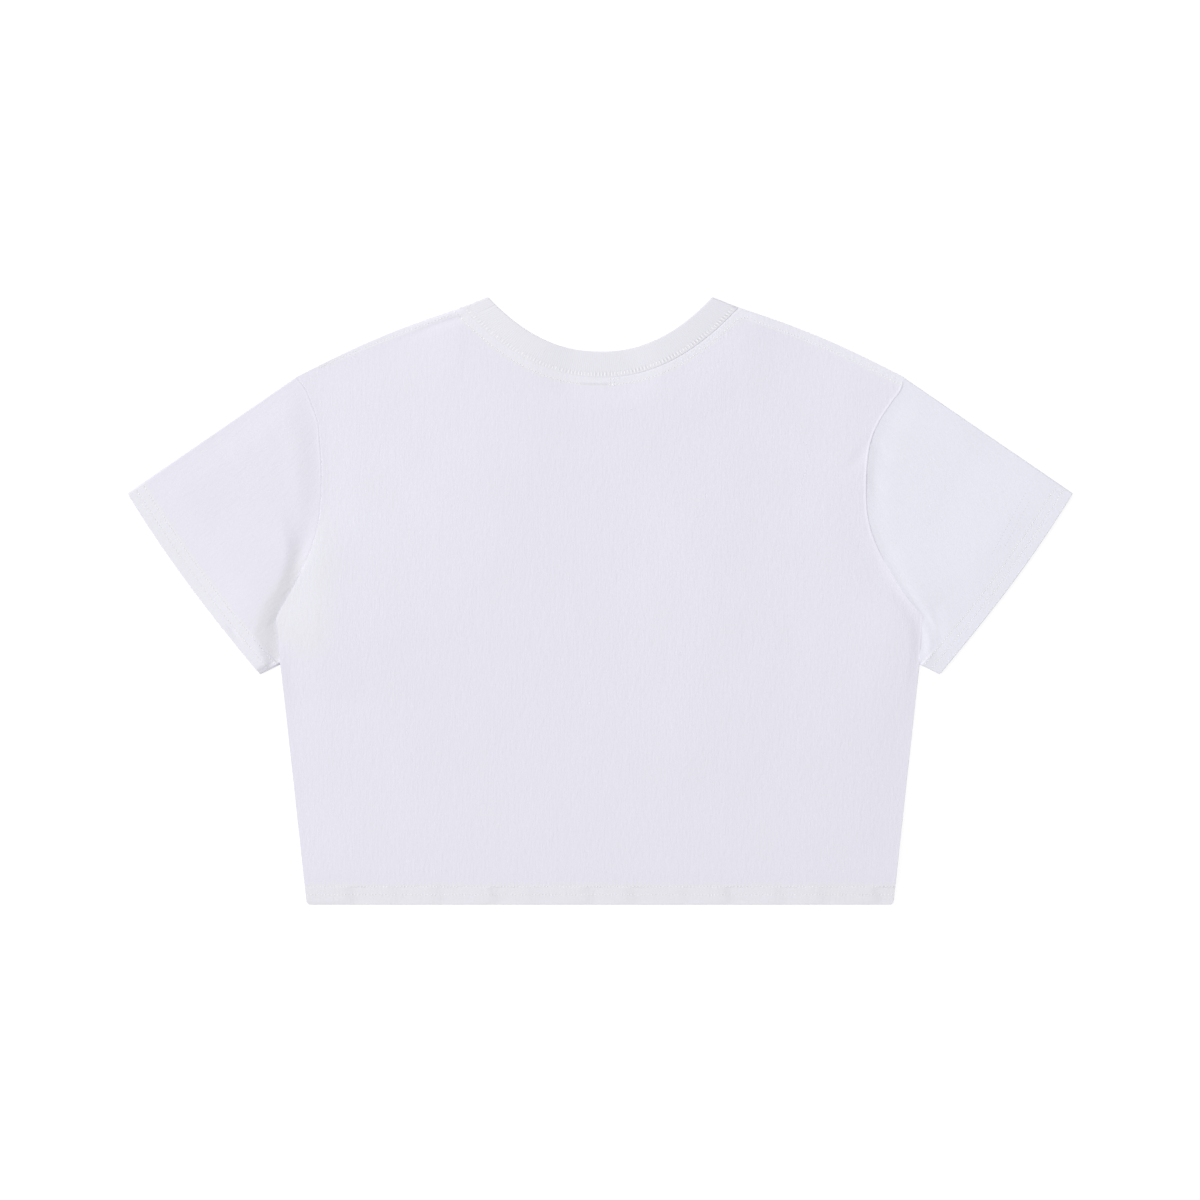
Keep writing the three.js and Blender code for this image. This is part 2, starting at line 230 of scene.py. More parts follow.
@dataclass(frozen=True)
class NeckLine:
    """A line round the neck: its height is low + (top - low) * (|x| / reach) ** power."""

    low: float
    top: float
    reach: float
    power: float

    def height(self, x: Array) -> Array:
        """Y of the line at x."""
        return self.low + (self.top - self.low) * (np.abs(x) / self.reach) ** self.power

    def slope(self, x: Array) -> Array:
        """Steepness of the line at x, without sign."""
        share = (np.abs(x) / self.reach) ** (self.power - 1)
        return self.power * (self.top - self.low) * share / self.reach

    def below(self, x: Array, y: Array) -> Array:
        """How far plan points lie below the line, square to it."""
        inside = np.minimum(np.abs(x), self.reach)
        return (self.height(inside) - y) / np.hypot(1, self.slope(inside))


@dataclass(frozen=True)
class Cut:
    """Sizes of the garment laid flat that its pieces share."""

    cloth: float = 1.0  # one layer of jersey
    gap: float = 0.3  # between layers that lie on each other
    hem_y: float = -238.0  # the folded lower edge
    hem_reach: float = 229.7
    hem_corner: float = 3.2  # rounding of the hem's corners
    turn_up: float = 16.0  # doubled cloth at hem and cuffs
    turned_wall: float = 0.7  # what the pressed, sewn-down second layer adds
    lap: float = 0.25  # how far sewn edges run past their seam, so that no slit shows in it
    rib_half: float = 1.0  # half the doubled rib
    near_row: float = 7.9  # from the folded edge to the nearer stitch row
    far_row: float = 14.2  # and to the other
    neck_row: float = 5.9  # from the neck seam to the lower row of its cover stitch
    tooth_pitch: float = 2.66  # between the loops of that stitch across the rib's seam
    shoulder_x: float = 238.0
    shoulder_y: float = 175.3
    shoulder_bulge: float = 3.6
    base_y: float = -49.7  # where a sleeve's lower edge leaves the side
    base_reach: float = 250.4
    cuff_outer: tuple[float, float] = (370.4, 84.2)
    cuff_inner: tuple[float, float] = (266.1, -57.7)
    cuff_bow: float = 3.5
    cuff_bow_power: float = 0.9
    back_edge: NeckLine = NeckLine(195.3, 238.0, 87.8, 2.2)
    back_seam: NeckLine = NeckLine(175.0, 229.8, 108.5, 2.14)
    front_edge: NeckLine = NeckLine(150.0, 238.0, 87.8, 2.4)
    front_seam: NeckLine = NeckLine(129.7, 229.8, 108.5, 2.4)
    armhole: tuple[tuple[float, float, float], ...] = (
        # y, distance from the centre line to the left seam, and to the right seam, from the armpit up
        (-12.3, 252.9, 253.2),
        (5.0, 243.4, 239.4),
        (24.0, 233.4, 227.0),
        (45.0, 224.8, 216.2),
        (65.0, 220.0, 210.4),
        (88.0, 218.2, 208.9),
        (108.0, 218.3, 209.8),
        (126.0, 219.6, 212.9),
        (140.0, 220.8, 218.9),
        (154.0, 225.7, 228.0),
        (167.0, 231.2, 236.8),
        (175.3, 238.0, 238.0),
    )

    @property
    def layer(self) -> float:
        """One layer of cloth and the clearance over it."""
        return self.cloth + self.gap

    @property
    def cuff_width(self) -> float:
        """Straight distance from the top to the lower end of a cuff."""
        return float(np.hypot(*np.subtract(self.cuff_outer, self.cuff_inner)))

    def reach(self, side: Side, y: Array) -> Array:
        """Distance from the centre line to the body's edge.

        The side runs straight from the hem's rounded corner to the sleeve, and the armhole above follows its
        table smoothly.

        Args:
            side: Left or right.
            y: Heights up the garment.

        Returns:
            The distance at each height.
        """
        rows = np.array(self.armhole)
        table = rows[:, 1 if side is Side.LEFT else 2]
        share = (y - self.hem_y) / (self.base_y - self.hem_y)
        short = np.maximum(0, self.hem_corner - (y - self.hem_y))
        corner = self.hem_corner - np.sqrt(self.hem_corner**2 - np.minimum(short, self.hem_corner) ** 2)
        straight = mix(self.hem_reach, self.base_reach, share) - corner
        beside = mix(self.base_reach, table[0], (y - self.base_y) / (rows[0, 0] - self.base_y))
        curved = np.where(y < rows[0, 0], beside, through(rows[:, 0], table, y))
        return np.where(y < self.base_y, straight, curved)

    def side_inset(self, side: Side, x: Array, y: Array) -> Array:
        """How far plan points lie in from the body's edge on one side, square to that edge."""
        low, high = self.reach(side, y - 1), self.reach(side, y + 1)
        steep = np.hypot(1, (high - low) / 2)
        return (self.reach(side, y) - side.value * x) / steep

    def top(self, seam: NeckLine, x: Array) -> Array:
        """Y of a panel's upper edge: the neck's seam, and past its reach the slightly bulging shoulder.

        Args:
            seam: The panel's neck seam.
            x: Across the garment.

        Returns:
            The heights up the garment.
        """
        share = np.clip((self.shoulder_x - np.abs(x)) / (self.shoulder_x - seam.reach), 0, 1)
        shoulder = mix(self.shoulder_y, seam.top, share) + self.shoulder_bulge * np.sin(np.pi * share)
        inside = np.minimum(np.abs(x), seam.reach)
        lap = self.lap * np.hypot(1, seam.slope(inside)) * (1 - smooth(seam.reach - 6, seam.reach, np.abs(x)))
        return np.where(np.abs(x) < seam.reach, seam.height(inside) + lap, shoulder)

    def turned(self, inset: Array) -> Array:
        """Share of the turned-up second layer that is there at a distance in from a folded edge."""
        return 1 - smooth(self.turn_up - 0.6, self.turn_up + 1.4, inset)

    def wall(self, inset: Array) -> Array:
        """Thickness of the cloth at a distance in from a folded edge."""
        return self.cloth + self.turned_wall * self.turned(inset)

    def rows(self, inset: Array) -> Array:
        """Share of a twin-needle row's groove that is there at a distance in from a folded edge."""
        return bell(inset - self.near_row, 0.6) + bell(inset - self.far_row, 0.6)

    @property
    def twin_rows(self) -> tuple[tuple[str, float], ...]:
        """The twin-needle rows' names and distances in from a folded edge."""
        return ("near", self.near_row), ("far", self.far_row)

    def rib_level(self, share: Array) -> Array:
        """Height of the rib's middle along the back neck, at a share of the way to a neck point.

        It lies on the table in the middle, and rises towards the neck points, where the front's rib is
        under it.
        """
        raised = self.rib_half + 2 * (self.rib_half + self.gap / 2)
        return mix(self.layer + self.cloth / 2, raised, smooth(0.2, 0.5, np.abs(share)))


# -------------------- Meshes --------------------

KNIT_MAP = "Knit"
LAYERS_AND_PAINTED_LIGHT = "Doubled"  # point values: how many more layers back the cloth, up to two, plus painted light: paler where more light falls, and a neutral tint in a shaded valley
CAST = "Cast"  # point values: how much bluer the cloth looks
PAINTED_SHADE = "Needle"  # point values: how much painted shade a point takes, in needle holes, gaps between loops and seam lines
DECIMETRE = 100.0  # one unit of the knit map, in millimetres


def grid_faces(rows: int, columns: int, first: int = 0, closed: bool = False) -> Array:
    """Corner numbers of the quads of a grid of points.

    Args:
        rows: Rows of points.
        columns: Points in a row.
        first: Number of the grid's first point.
        closed: Whether each row's last point is joined to its first.

    Returns:
        One row of four corner numbers for each quad.
    """
    r = np.arange(rows - 1)[:, None]
    c = np.arange(columns if closed else columns - 1)[None, :]
    after = (c + 1) % columns
    low, high = first + r * columns, first + (r + 1) * columns
    return np.stack([low + c, low + after, high + after, high + c], axis=-1).reshape(-1, 4)


def strip_faces(first: Array, second: Array, closed: bool) -> Array:
    """Quads between two equally long lines of corner numbers."""
    ends = (np.roll(first, -1), np.roll(second, -1))
    quads = np.stack([first, ends[0], ends[1], second], axis=-1)
    return quads if closed else quads[:-1]


def outward(points: Array, quads: Array) -> Array:
    """The quads, turned round if the volume that they close is negative."""
    a, b, c, d = (points[quads[:, k]] for k in range(4))
    volume = (a * np.cross(b, c)).sum() + (a * np.cross(c, d)).sum()
    return quads if volume > 0 else quads[:, ::-1]


def new_piece(name: str, points: Array, quads: Array, caps: Array | None = None) -> Piece:
    """Makes a smooth-shaded mesh object from arrays.

    Args:
        name: The piece's name.
        points: Its points in millimetres, one row each.
        quads: Four corner numbers for each quad.
        caps: Corner numbers of each end cap, if it has any.

    Returns:
        The object, at the origin, in metres.
    """
    mesh = bpy.data.meshes.new(name)
    loops = quads.ravel() if caps is None else np.concatenate([quads.ravel(), caps.ravel()])
    sizes = np.full(len(quads), 4)
    if caps is not None:
        sizes = np.concatenate([sizes, np.full(len(caps), caps.shape[1])])
    mesh.vertices.add(len(points))
    mesh.vertices.foreach_set("co", (points * MM).astype(np.float32).ravel())
    mesh.loops.add(len(loops))
    mesh.loops.foreach_set("vertex_index", loops.astype(np.int32))
    mesh.polygons.add(len(sizes))
    starts = np.concatenate([[0], np.cumsum(sizes)[:-1]])
    mesh.polygons.foreach_set("loop_start", starts.astype(np.int32))
    mesh.update(calc_edges=True)
    mesh.validate()
    mesh.shade_smooth()
    piece = bpy.data.objects.new(name, mesh)
    bpy.context.scene.collection.objects.link(piece)
    return piece


def closed_sheet(name: str, x: Array, y: Array, over: Array, under: Array) -> Piece:
    """Makes a sheet of cloth from its two faces, closed by a rim all round.

    Args:
        name: The piece's name.
        x: Plan points of its grid, (rows, columns).
        y: The same.
        over: Height of the upper face at them.
        under: Height of the lower face.

    Returns:
        The object, with the upper face's points first.
    """
    rows, columns = x.shape
    count = rows * columns
    points = np.concatenate([np.stack([x, y, z], axis=-1).reshape(-1, 3) for z in (over, under)])
    index = np.arange(count).reshape(rows, columns)
    rim = np.concatenate([index[0], index[1:, -1], index[-1, -2::-1], index[-2:0:-1, 0]])
    quads = np.concatenate([
        grid_faces(rows, columns),
        grid_faces(rows, columns, count)[:, ::-1],
        strip_faces(rim + count, rim, closed=True),
    ])
    return new_piece(name, points, outward(points, quads))


def laid_area(x: Array, y: Array) -> float:
    """Area of a grid of plan points: half the cross product of each quad's two diagonals, summed.

    Args:
        x: The grid's points, (rows, columns).
        y: The same.

    Returns:
        Square millimetres.
    """
    grid = np.stack([x, y], axis=-1)
    a, b = (grid[1:, 1:] - grid[:-1, :-1]).reshape(-1, 2).T
    c, d = (grid[1:, :-1] - grid[:-1, 1:]).reshape(-1, 2).T
    return float(np.abs(a * d - b * c).sum() / 2)


def set_point_values(piece: Piece, name: str, values: Array) -> None:
    """Stores one number for each point of a piece, for its material to read."""
    layer = piece.data.attributes.new(name, "FLOAT", "POINT")
    layer.data.foreach_set("value", np.asarray(values, np.float32).ravel())


def dress(piece: Piece, material: bpy.types.Material, values: dict[str, Array]) -> None:
    """Gives a piece its material and the point values that it reads, one for each point of each face."""
    for name, held in values.items():
        set_point_values(piece, name, np.tile(held.ravel(), len(piece.data.vertices) // held.size))
    piece.data.materials.append(material)


def set_knit_map(piece: Piece, u: Array, v: Array) -> None:
    """Gives a piece the UV map that its knit follows, in decimetres across and along the wales.

    Args:
        piece: The piece.
        u: Millimetres across the wales, one for each point.
        v: Millimetres along them.
    """
    corners = np.empty(len(piece.data.loops), np.int32)
    piece.data.loops.foreach_get("vertex_index", corners)
    places = np.stack([u.ravel(), v.ravel()], axis=-1)[corners] / DECIMETRE
    piece.data.uv_layers.new(name=KNIT_MAP).uv.foreach_set("vector", places.astype(np.float32).ravel())


@dataclass(frozen=True)
class Thread:
    """Sewing thread laid in stitches: tubes along short arched lines, joined into one mesh."""

    radius: float = 0.43
    sides: int = 6
    flatten: float = 0.5  # height of the thread's section over its width
    end_shade: float = 0.85  # how much painted shade darkens its ends, where they dive into their needle holes
    shade: float = 0.0  # how far all of it mixes toward the painted hole shade: the pricks' painted shade, a duller tone on some rows

    def lay(self, name: str, lines: Array, up: int) -> Piece:
        """Makes one mesh of many stitches.

        Round each line's points runs a ring of points, across and above it, and the ring shrinks to
        a blunt tip at both ends.

        Args:
            name: The piece's name.
            lines: Centre lines, an array of (stitch, point, xyz).
            up: Way out of the cloth: 1 up, -1 down.

        Returns:
            The object.
        """
        count, steps = lines.shape[:2]
        run = np.gradient(lines, axis=1)
        run /= np.linalg.norm(run, axis=2, keepdims=True)
        across = np.cross(run, (0.0, 0.0, up))
        across /= np.linalg.norm(across, axis=2, keepdims=True)
        normal = np.cross(across, run)
        turn = np.linspace(0, 2 * np.pi, self.sides, endpoint=False)
        end = np.abs(np.linspace(-1, 1, steps))
        size = self.radius * np.sqrt(1 - 0.9 * end**4)[None, :, None, None]
        ring = across[:, :, None] * np.cos(turn)[None, None, :, None]
        ring = ring + self.flatten * normal[:, :, None] * np.sin(turn)[None, None, :, None]
        points = (lines[:, :, None] + size * ring).reshape(-1, 3)
        one = grid_faces(steps, self.sides, closed=True)
        first = (np.arange(count) * steps * self.sides)[:, None, None]
        quads = (one[None] + first).reshape(-1, 4)
        start = np.arange(self.sides)[None, ::-1]
        finish = np.arange(self.sides)[None] + (steps - 1) * self.sides
        caps = (np.stack([start, finish], axis=1) + first).reshape(-1, self.sides)
        volume = outward(points[: steps * self.sides], one)
        if not np.array_equal(volume, one):
            quads, caps = quads[:, ::-1], caps[:, ::-1]
        piece = new_piece(name, points, quads, caps)
        # painted shade: darker towards both ends, where the thread dives into its needle holes, and all over
        # by its shade share
        sunk = np.broadcast_to(self.shade + self.end_shade * end[None, :, None] ** 5, (count, steps, self.sides))
        set_point_values(piece, PAINTED_SHADE, sunk)
        return piece


# -------------------- Finishes --------------------

def linear(colour: str) -> tuple[float, float, float, float]:
    """Linear RGBA of an sRGB hex colour such as #e6e4ef."""
    parts = np.array([int(colour[i : i + 2], 16) for i in (1, 3, 5)]) / 255
    flat = np.where(parts <= 0.04045, parts / 12.92, ((parts + 0.055) / 1.055) ** 2.4)
    return (*(float(v) for v in flat), 1.0)


def add_node(
    tree: Tree,
    kind: str,
    inputs: dict[str | int, object],
    out: str | int = 0,
    **settings: object,
) -> Socket | None:
    """Adds a shader node with its settings and links.

    Args:
        tree: The material's node tree.
        kind: The node's type name, without the first word that all shader nodes share.
        inputs: Its input values by name or number; an output socket is linked in.
        out: The output that is wanted, by name or number.
        settings: The node's own properties by name.

    Returns:
        That output, or None from a node without outputs.
    """
    node = tree.nodes.new(f"ShaderNode{kind}")
    for name, value in settings.items():
        setattr(node, name, value)
    for name, value in inputs.items():
        if isinstance(value, Socket):
            tree.links.new(value, node.inputs[name])
        else:
            node.inputs[name].default_value = value
    return node.outputs[out] if node.outputs else None


def new_material(name: str) -> tuple[bpy.types.Material, Tree]:
    """A new material and its empty node tree."""
    made = bpy.data.materials.new(name)
    made.use_nodes = True
    made.node_tree.nodes.clear()
    return made, made.node_tree


@dataclass(frozen=True)
class Knit:
    """Combed cotton knit, bleached and washed with brightener, steam pressed.

    Single jersey shows its wales as faint upright streaks, a fine uneven grain, and small upright wrinkles
    left from washing. Where one layer lies alone the brightener looks cool, where cloth is doubled or sewn
    it looks more neutral, and over still more layers it looks whiter; a little of it looks bluer. Painted
    light makes some places paler, and painted shade darkens grooves, needle holes and seam lines.
    """

    name: str
    cool: str
    neutral: str
    pale: str
    blue: str
    wale: float  # width of one wale, mm; jersey's real 0.7 mm is too fine to show, so it is drawn coarser
    wale_depth: float  # mm
    wale_shade: float  # how much painted shade darkens the grooves between the wales
    grain: float  # size of the grain's mottle, mm
    grain_depth: float  # mm
    wrinkle_depth: float  # mm
    shadow: str = "#8f8e99"  # painted shade: in the grooves, in needle holes, between loops and along seam lines
    shade_in_holes: float = 0.3  # how much of that painted shade a painted-shade value of one gives
    roughness: float = 0.94
    gloss: float = 0.15
    sheen: float = 0.06

    def speckle(self, tree: Tree, places: Socket, size: tuple[float, float], detail: float) -> Socket:
        """Soft noise over the knit map, with a size across and along the wales in millimetres."""
        stretch = (DECIMETRE / size[0], DECIMETRE / size[1], 1.0)
        scaled = add_node(tree, "VectorMath", {0: places, 1: stretch}, operation="MULTIPLY")
        return add_node(tree, "TexNoise", {"Vector": scaled, "Scale": 1.0, "Detail": detail})

    def height(self, tree: Tree, places: Socket, wave: Socket) -> Socket:
        """Height in millimetres: wales, a fine grain, a grain drawn out along the wales, and wrinkles.

        Args:
            tree: The material's node tree.
            places: The knit map's output.
            wave: The wales' wave, from -1 in a groove to 1 on a ridge.

        Returns:
            The height output.
        """
        height = add_node(tree, "Math", {0: wave, 1: self.wale_depth}, operation="MULTIPLY")
        for size, detail, depth in (
            ((self.grain, self.grain), 2.0, self.grain_depth),
            ((1.6 * self.grain, 6.5 * self.grain), 1.0, 1.1 * self.grain_depth),
            ((5.0, 12.0), 1.0, self.wrinkle_depth),
        ):
            found = self.speckle(tree, places, size, detail)
            height = add_node(tree, "Math", {0: found, 1: depth, 2: height}, operation="MULTIPLY_ADD")
        return height

    def colour(self, tree: Tree, places: Socket, wave: Socket) -> Socket:
        """Colour: cool to neutral by the layers and painted light, to blue by the cast, each with a broad
        mottle;
        last, painted shade in the grooves and at the painted-shade values.

        Args:
            tree: The material's node tree.
            places: The knit map's output.
            wave: The wales' wave, from -1 in a groove to 1 on a ridge.

        Returns:
            The colour output.
        """
        mottle = 0.0
        for size, detail, gain, shift in (((34.0, 52.0), 3.0, 1.1, -0.565), ((2.2, 2.6), 1.0, 1.4, -0.7)):
            inputs = {0: self.speckle(tree, places, size, detail), 1: gain, 2: shift}
            patch = add_node(tree, "Math", inputs, operation="MULTIPLY_ADD")
            mottle = add_node(tree, "Math", {0: mottle, 1: patch}, operation="ADD")
        # the layers with painted light, the cast, and the painted shade values
        doubled, cast, needle = (
            add_node(tree, "Attribute", {}, "Fac", attribute_name=name) for name in (LAYERS_AND_PAINTED_LIGHT, CAST, PAINTED_SHADE)
        )
        half = 0.5 * self.wale_shade
        # painted shade: darker in the grooves between the wales
        groove = add_node(tree, "Math", {0: wave, 1: -half, 2: half}, operation="MULTIPLY_ADD")
        colour = linear(self.cool)
        for tone, operation, inputs in (
            (self.neutral, "ADD", {0: doubled, 1: mottle}),
            (self.pale, "SUBTRACT", {0: doubled, 1: 1.0}),
            (self.blue, "MULTIPLY_ADD", {0: mottle, 1: -0.8, 2: cast}),
            (self.shadow, "MULTIPLY_ADD", {0: needle, 1: self.shade_in_holes, 2: groove}),
        ):
            share = add_node(tree, "Math", inputs, operation=operation, use_clamp=True)
            inputs = {"Factor": share, 6: colour, 7: linear(tone)}
            colour = add_node(tree, "Mix", inputs, 2, data_type="RGBA")
        return colour

    def material(self) -> bpy.types.Material:
        """The finish as a node material, from the wave of its wales, its height and its colour.

        Returns:
            The material.
        """
        made, tree = new_material(self.name)
        places = add_node(tree, "UVMap", {}, "UV", uv_map=KNIT_MAP)
        across = add_node(tree, "SeparateXYZ", {0: places}, "X")
        turn = 2 * np.pi * DECIMETRE / self.wale
        turns = add_node(tree, "Math", {0: across, 1: turn}, operation="MULTIPLY")
        wave = add_node(tree, "Math", {0: turns}, operation="COSINE")
        height = self.height(tree, places, wave)
        bump = add_node(tree, "Bump", {"Height": height, "Strength": 1.0, "Distance": MM})
        shader = add_node(tree, "BsdfPrincipled", {
            "Base Color": self.colour(tree, places, wave),
            "Roughness": self.roughness,
            "Specular IOR Level": self.gloss,
            "Sheen Weight": self.sheen,
            "Sheen Roughness": 0.6,
            "Normal": bump,
        })
        add_node(tree, "OutputMaterial", {"Surface": shader})
        return made


@dataclass(frozen=True)
class SewingThread:
    """Spun polyester sewing thread, a little smoother and whiter than the cloth.

    Its twist is too fine to draw. Its colour is darkened toward a painted shade where it dives into a needle
    hole.
    """

    name: str = "spun_polyester_thread"
    colour: str = "#fafafc"
    # painted shade: the colour of a thread end down in its needle hole
    hole: str = "#6e6d78"
    roughness: float = 0.6

    def material(self) -> bpy.types.Material:
        """The finish as a node material."""
        made, tree = new_material(self.name)
        # painted shade: the thread's colour mixes toward the hole colour by the painted-shade values
        sunk = add_node(tree, "Attribute", {}, "Fac", attribute_name=PAINTED_SHADE)
        inputs = {"Factor": sunk, 6: linear(self.colour), 7: linear(self.hole)}
        tint = add_node(tree, "Mix", inputs, 2, data_type="RGBA")
        inputs = {"Base Color": tint, "Roughness": self.roughness, "Specular IOR Level": 0.3}
        add_node(tree, "OutputMaterial", {"Surface": add_node(tree, "BsdfPrincipled", inputs)})
        return made


@dataclass(frozen=True)
class LightTable:
    """Satin opal table, lit softly from below, as small goods are shot on.

    Its own glow makes it white to the eye, and hardly any shadow shows on it.
    """

    name: str = "opal_light_table"
    colour: str = "#8c8c8c"
    glow: float = 0.8

    def material(self) -> bpy.types.Material:
        """The finish as a node material: matte grey with an even white glow."""
        made, tree = new_material(self.name)
        shader = add_node(tree, "BsdfPrincipled", {
            "Base Color": linear(self.colour),
            "Roughness": 0.9,
            "Specular IOR Level": 0.0,
            "Emission Color": linear("#ffffff"),
            "Emission Strength": self.glow,
        })
        add_node(tree, "OutputMaterial", {"Surface": shader})
        return made


@dataclass(frozen=True)
class Finishes:
    """The materials that the pieces wear."""

    jersey: bpy.types.Material
    rib: bpy.types.Material
    tape: bpy.types.Material
    thread: bpy.types.Material

    @classmethod
    def made(cls) -> "Finishes":
        """Makes the materials once.

        Returns:
            The jersey, whose streaks, grain and wash wrinkles show; the smoother rib, whose grooves are
            painted darker than its ridges, as shade; the tape, a fine plain jersey; and the thread.
        """
        jersey = Knit(
            "cotton_jersey_brightened",
            cool="#e7e5f0", neutral="#e7e6ec", pale="#ebeaf3", blue="#eaeaf4",
            wale=1.75, wale_depth=0.004, wale_shade=0.0, grain=1.1, grain_depth=0.17, wrinkle_depth=0.17,
        )
        rib = Knit(
            "cotton_rib_brightened",
            cool="#e9e8f0", neutral="#e9e8ef", pale="#ebeaf1", blue="#e9e9f1",
            wale=1.55, wale_depth=0.0, wale_shade=0.05, grain=1.0, grain_depth=0.08, wrinkle_depth=0.0,
        )
        tape = Knit(
            "cotton_jersey_tape",
            cool="#e8e6ee", neutral="#e8e7ed", pale="#ebeaf1", blue="#e7e7f0",
            wale=1.2, wale_depth=0.01, wale_shade=0.0, grain=1.0, grain_depth=0.06, wrinkle_depth=0.0,
        )
        return cls(*(finish.material() for finish in (jersey, rib, tape, SewingThread())))


# -------------------- Panels --------------------

# Folds and slack of the back as it lies. Heights are millimetres over the flat lie.
LEFT_ROLL = Crease(
    # the side's cloth lies over the left sleeve, and comes down to its edge from a low crest
    knots=(
        (-205, 80, 0.0), (-208, 52, 0.7), (-213, 27, 2.0), (-219, 0, 3.0),
        (-221, -25, 3.0), (-221, -45, 2.0), (-222, -78, 0.0),
    ),
    left=95.0,
    right=42.0,
)
LEFT_EDGE = Crease(
    # under the armpit the side's edge rests on the sleeve's cuff
    knots=((-252, -32, 0.0), (-251, -48, 0.8), (-249, -64, 0.6), (-247, -92, 0.0)), left=6.0, right=6.0
)
BACK_CREASES = (
    LEFT_ROLL,
    LEFT_EDGE,
    # a low swell just inside the left armhole seam, where the body's cloth comes up from it
    Crease(
        knots=(
            (-211, 84, 0.0), (-214, 62, 0.45), (-218.5, 44, 0.9),
            (-226, 28, 0.8), (-236, 12, 0.3), (-243, 0, 0.0),
        ),
        left=22.0,
        right=5.5,
    ),
    # under the right armpit the cloth swells and falls to the side's edge
    Swell(
        rows=(
            (-96, 236, 0.0, 40, 8), (-66, 238, 0.7, 40, 8), (-48, 240.5, 1.3, 38, 7.5),
            (-32, 241, 1.6, 36, 7.5), (-20, 239.5, 1.5, 34, 7.5), (-10, 234, 1.1, 30, 7.5),
            (2, 227, 0.6, 26, 8), (18, 218, 0.0, 24, 8),
        )
    ),
    # slack that lies in long low swells
    Crease(knots=((75, -70, 0.0), (70, -120, 0.55), (72, -190, 0.0)), left=70.0, right=26.0),
    Crease(knots=((-20, 165, 0.0), (-60, 120, 0.5), (-95, 40, 0.4), (-100, -40, 0.0)), left=30.0, right=60.0),
    Crease(knots=((120, 150, 0.0), (90, 90, 0.45), (60, 20, 0.4), (48, -60, 0.0)), left=48.0, right=22.0),
    Crease(knots=((-190, -70, 0.0), (-150, -120, 0.5), (-130, -200, 0.0)), left=50.0, right=34.0),
    Crease(knots=((205, -60, 0.0), (192, -120, 0.45), (200, -190, 0.0)), left=24.0, right=40.0),
    # thin upright wrinkles left from washing
    Crease(knots=((37, 70, 0.0), (38, 30, 0.12), (37, -12, 0.0)), left=2.2, right=2.2),
    Crease(knots=((43, 60, 0.0), (50, 41, -0.12), (62, 27, 0.0)), left=1.4, right=1.4),
    Crease(knots=((56, 52, 0.0), (60, 38, -0.1), (66, 22, 0.0)), left=1.3, right=1.3),
    Crease(knots=((-24, 22, 0.0), (-20, -6, 0.09), (-22, -40, 0.0)), left=2.6, right=2.0),
    Crease(knots=((-96, 34, 0.0), (-94, 4, -0.08), (-98, -26, 0.0)), left=2.0, right=2.4),
    Crease(knots=((24, -96, 0.0), (22, -128, 0.08), (25, -156, 0.0)), left=2.4, right=1.8),
    Crease(knots=((110, 4, 0.0), (114, -22, -0.07), (112, -52, 0.0)), left=2.0, right=2.0),
    # folds that run in from the right armhole and under the left shoulder
    Crease(knots=((205, 112, -0.5), (196, 104, -0.25), (182, 100, 0.0)), left=3.0, right=4.5),
    Crease(knots=((214, 128, -0.3), (206, 118, -0.3), (196, 108, 0.0)), left=2.5, right=3.5),
    Crease(
        knots=((-112, 221, -0.9), (-126, 217, -0.9), (-142, 210.5, -0.4), (-164, 201, 0.0)),
        left=4.0,
        right=2.6,
    ),
)


# steps of a grid in from a folded edge: close together at the fold and at each stitch row
FOLD_SPANS = (
    (0, 0.4, 0.1), (0.4, 1.2, 0.27), (1.2, 6.6, 1.1), (6.6, 9.2, 0.37),
    (9.2, 13.0, 1.0), (13.0, 15.4, 0.37), (15.4, 18.2, 0.5),
)
# where along the hem the turned-up cloth twists over, and how high and slanting it lies between
HEM_TWISTS = (-195.2, -160.7, -127.0, -83.1, -51.0, -9.4, 24.3, 65.9, 99.6, 141.1, 174.0, 216.4)
ROPE_HEIGHT = 0.95  # from the foot of a twist to its top
ROPE_DROP = 8.0  # length over which the cloth drops at a twist
ROPE_SLANT = 0.25  # how far a twist runs sideways for each step up
# y and height of the ridge that the right armhole seam makes in both cloths
RIGHT_SEAM = (
    (-22, 0.0), (-15, 0.4), (-8, 0.9), (10, 0.9), (30, 0.7), (55, 0.4),
    (75, 0.5), (92, 1.0), (108, 1.1), (125, 0.8), (150, 0.3), (170, 0.0),
)
# patches of the back that look bluer and paler: share, middle, half width and half height
PALER_PATCHES = ((0.3, 55, -20, 40, 110), (0.4, -185, 50, 75, 100), (0.3, 190, -20, 60, 110))


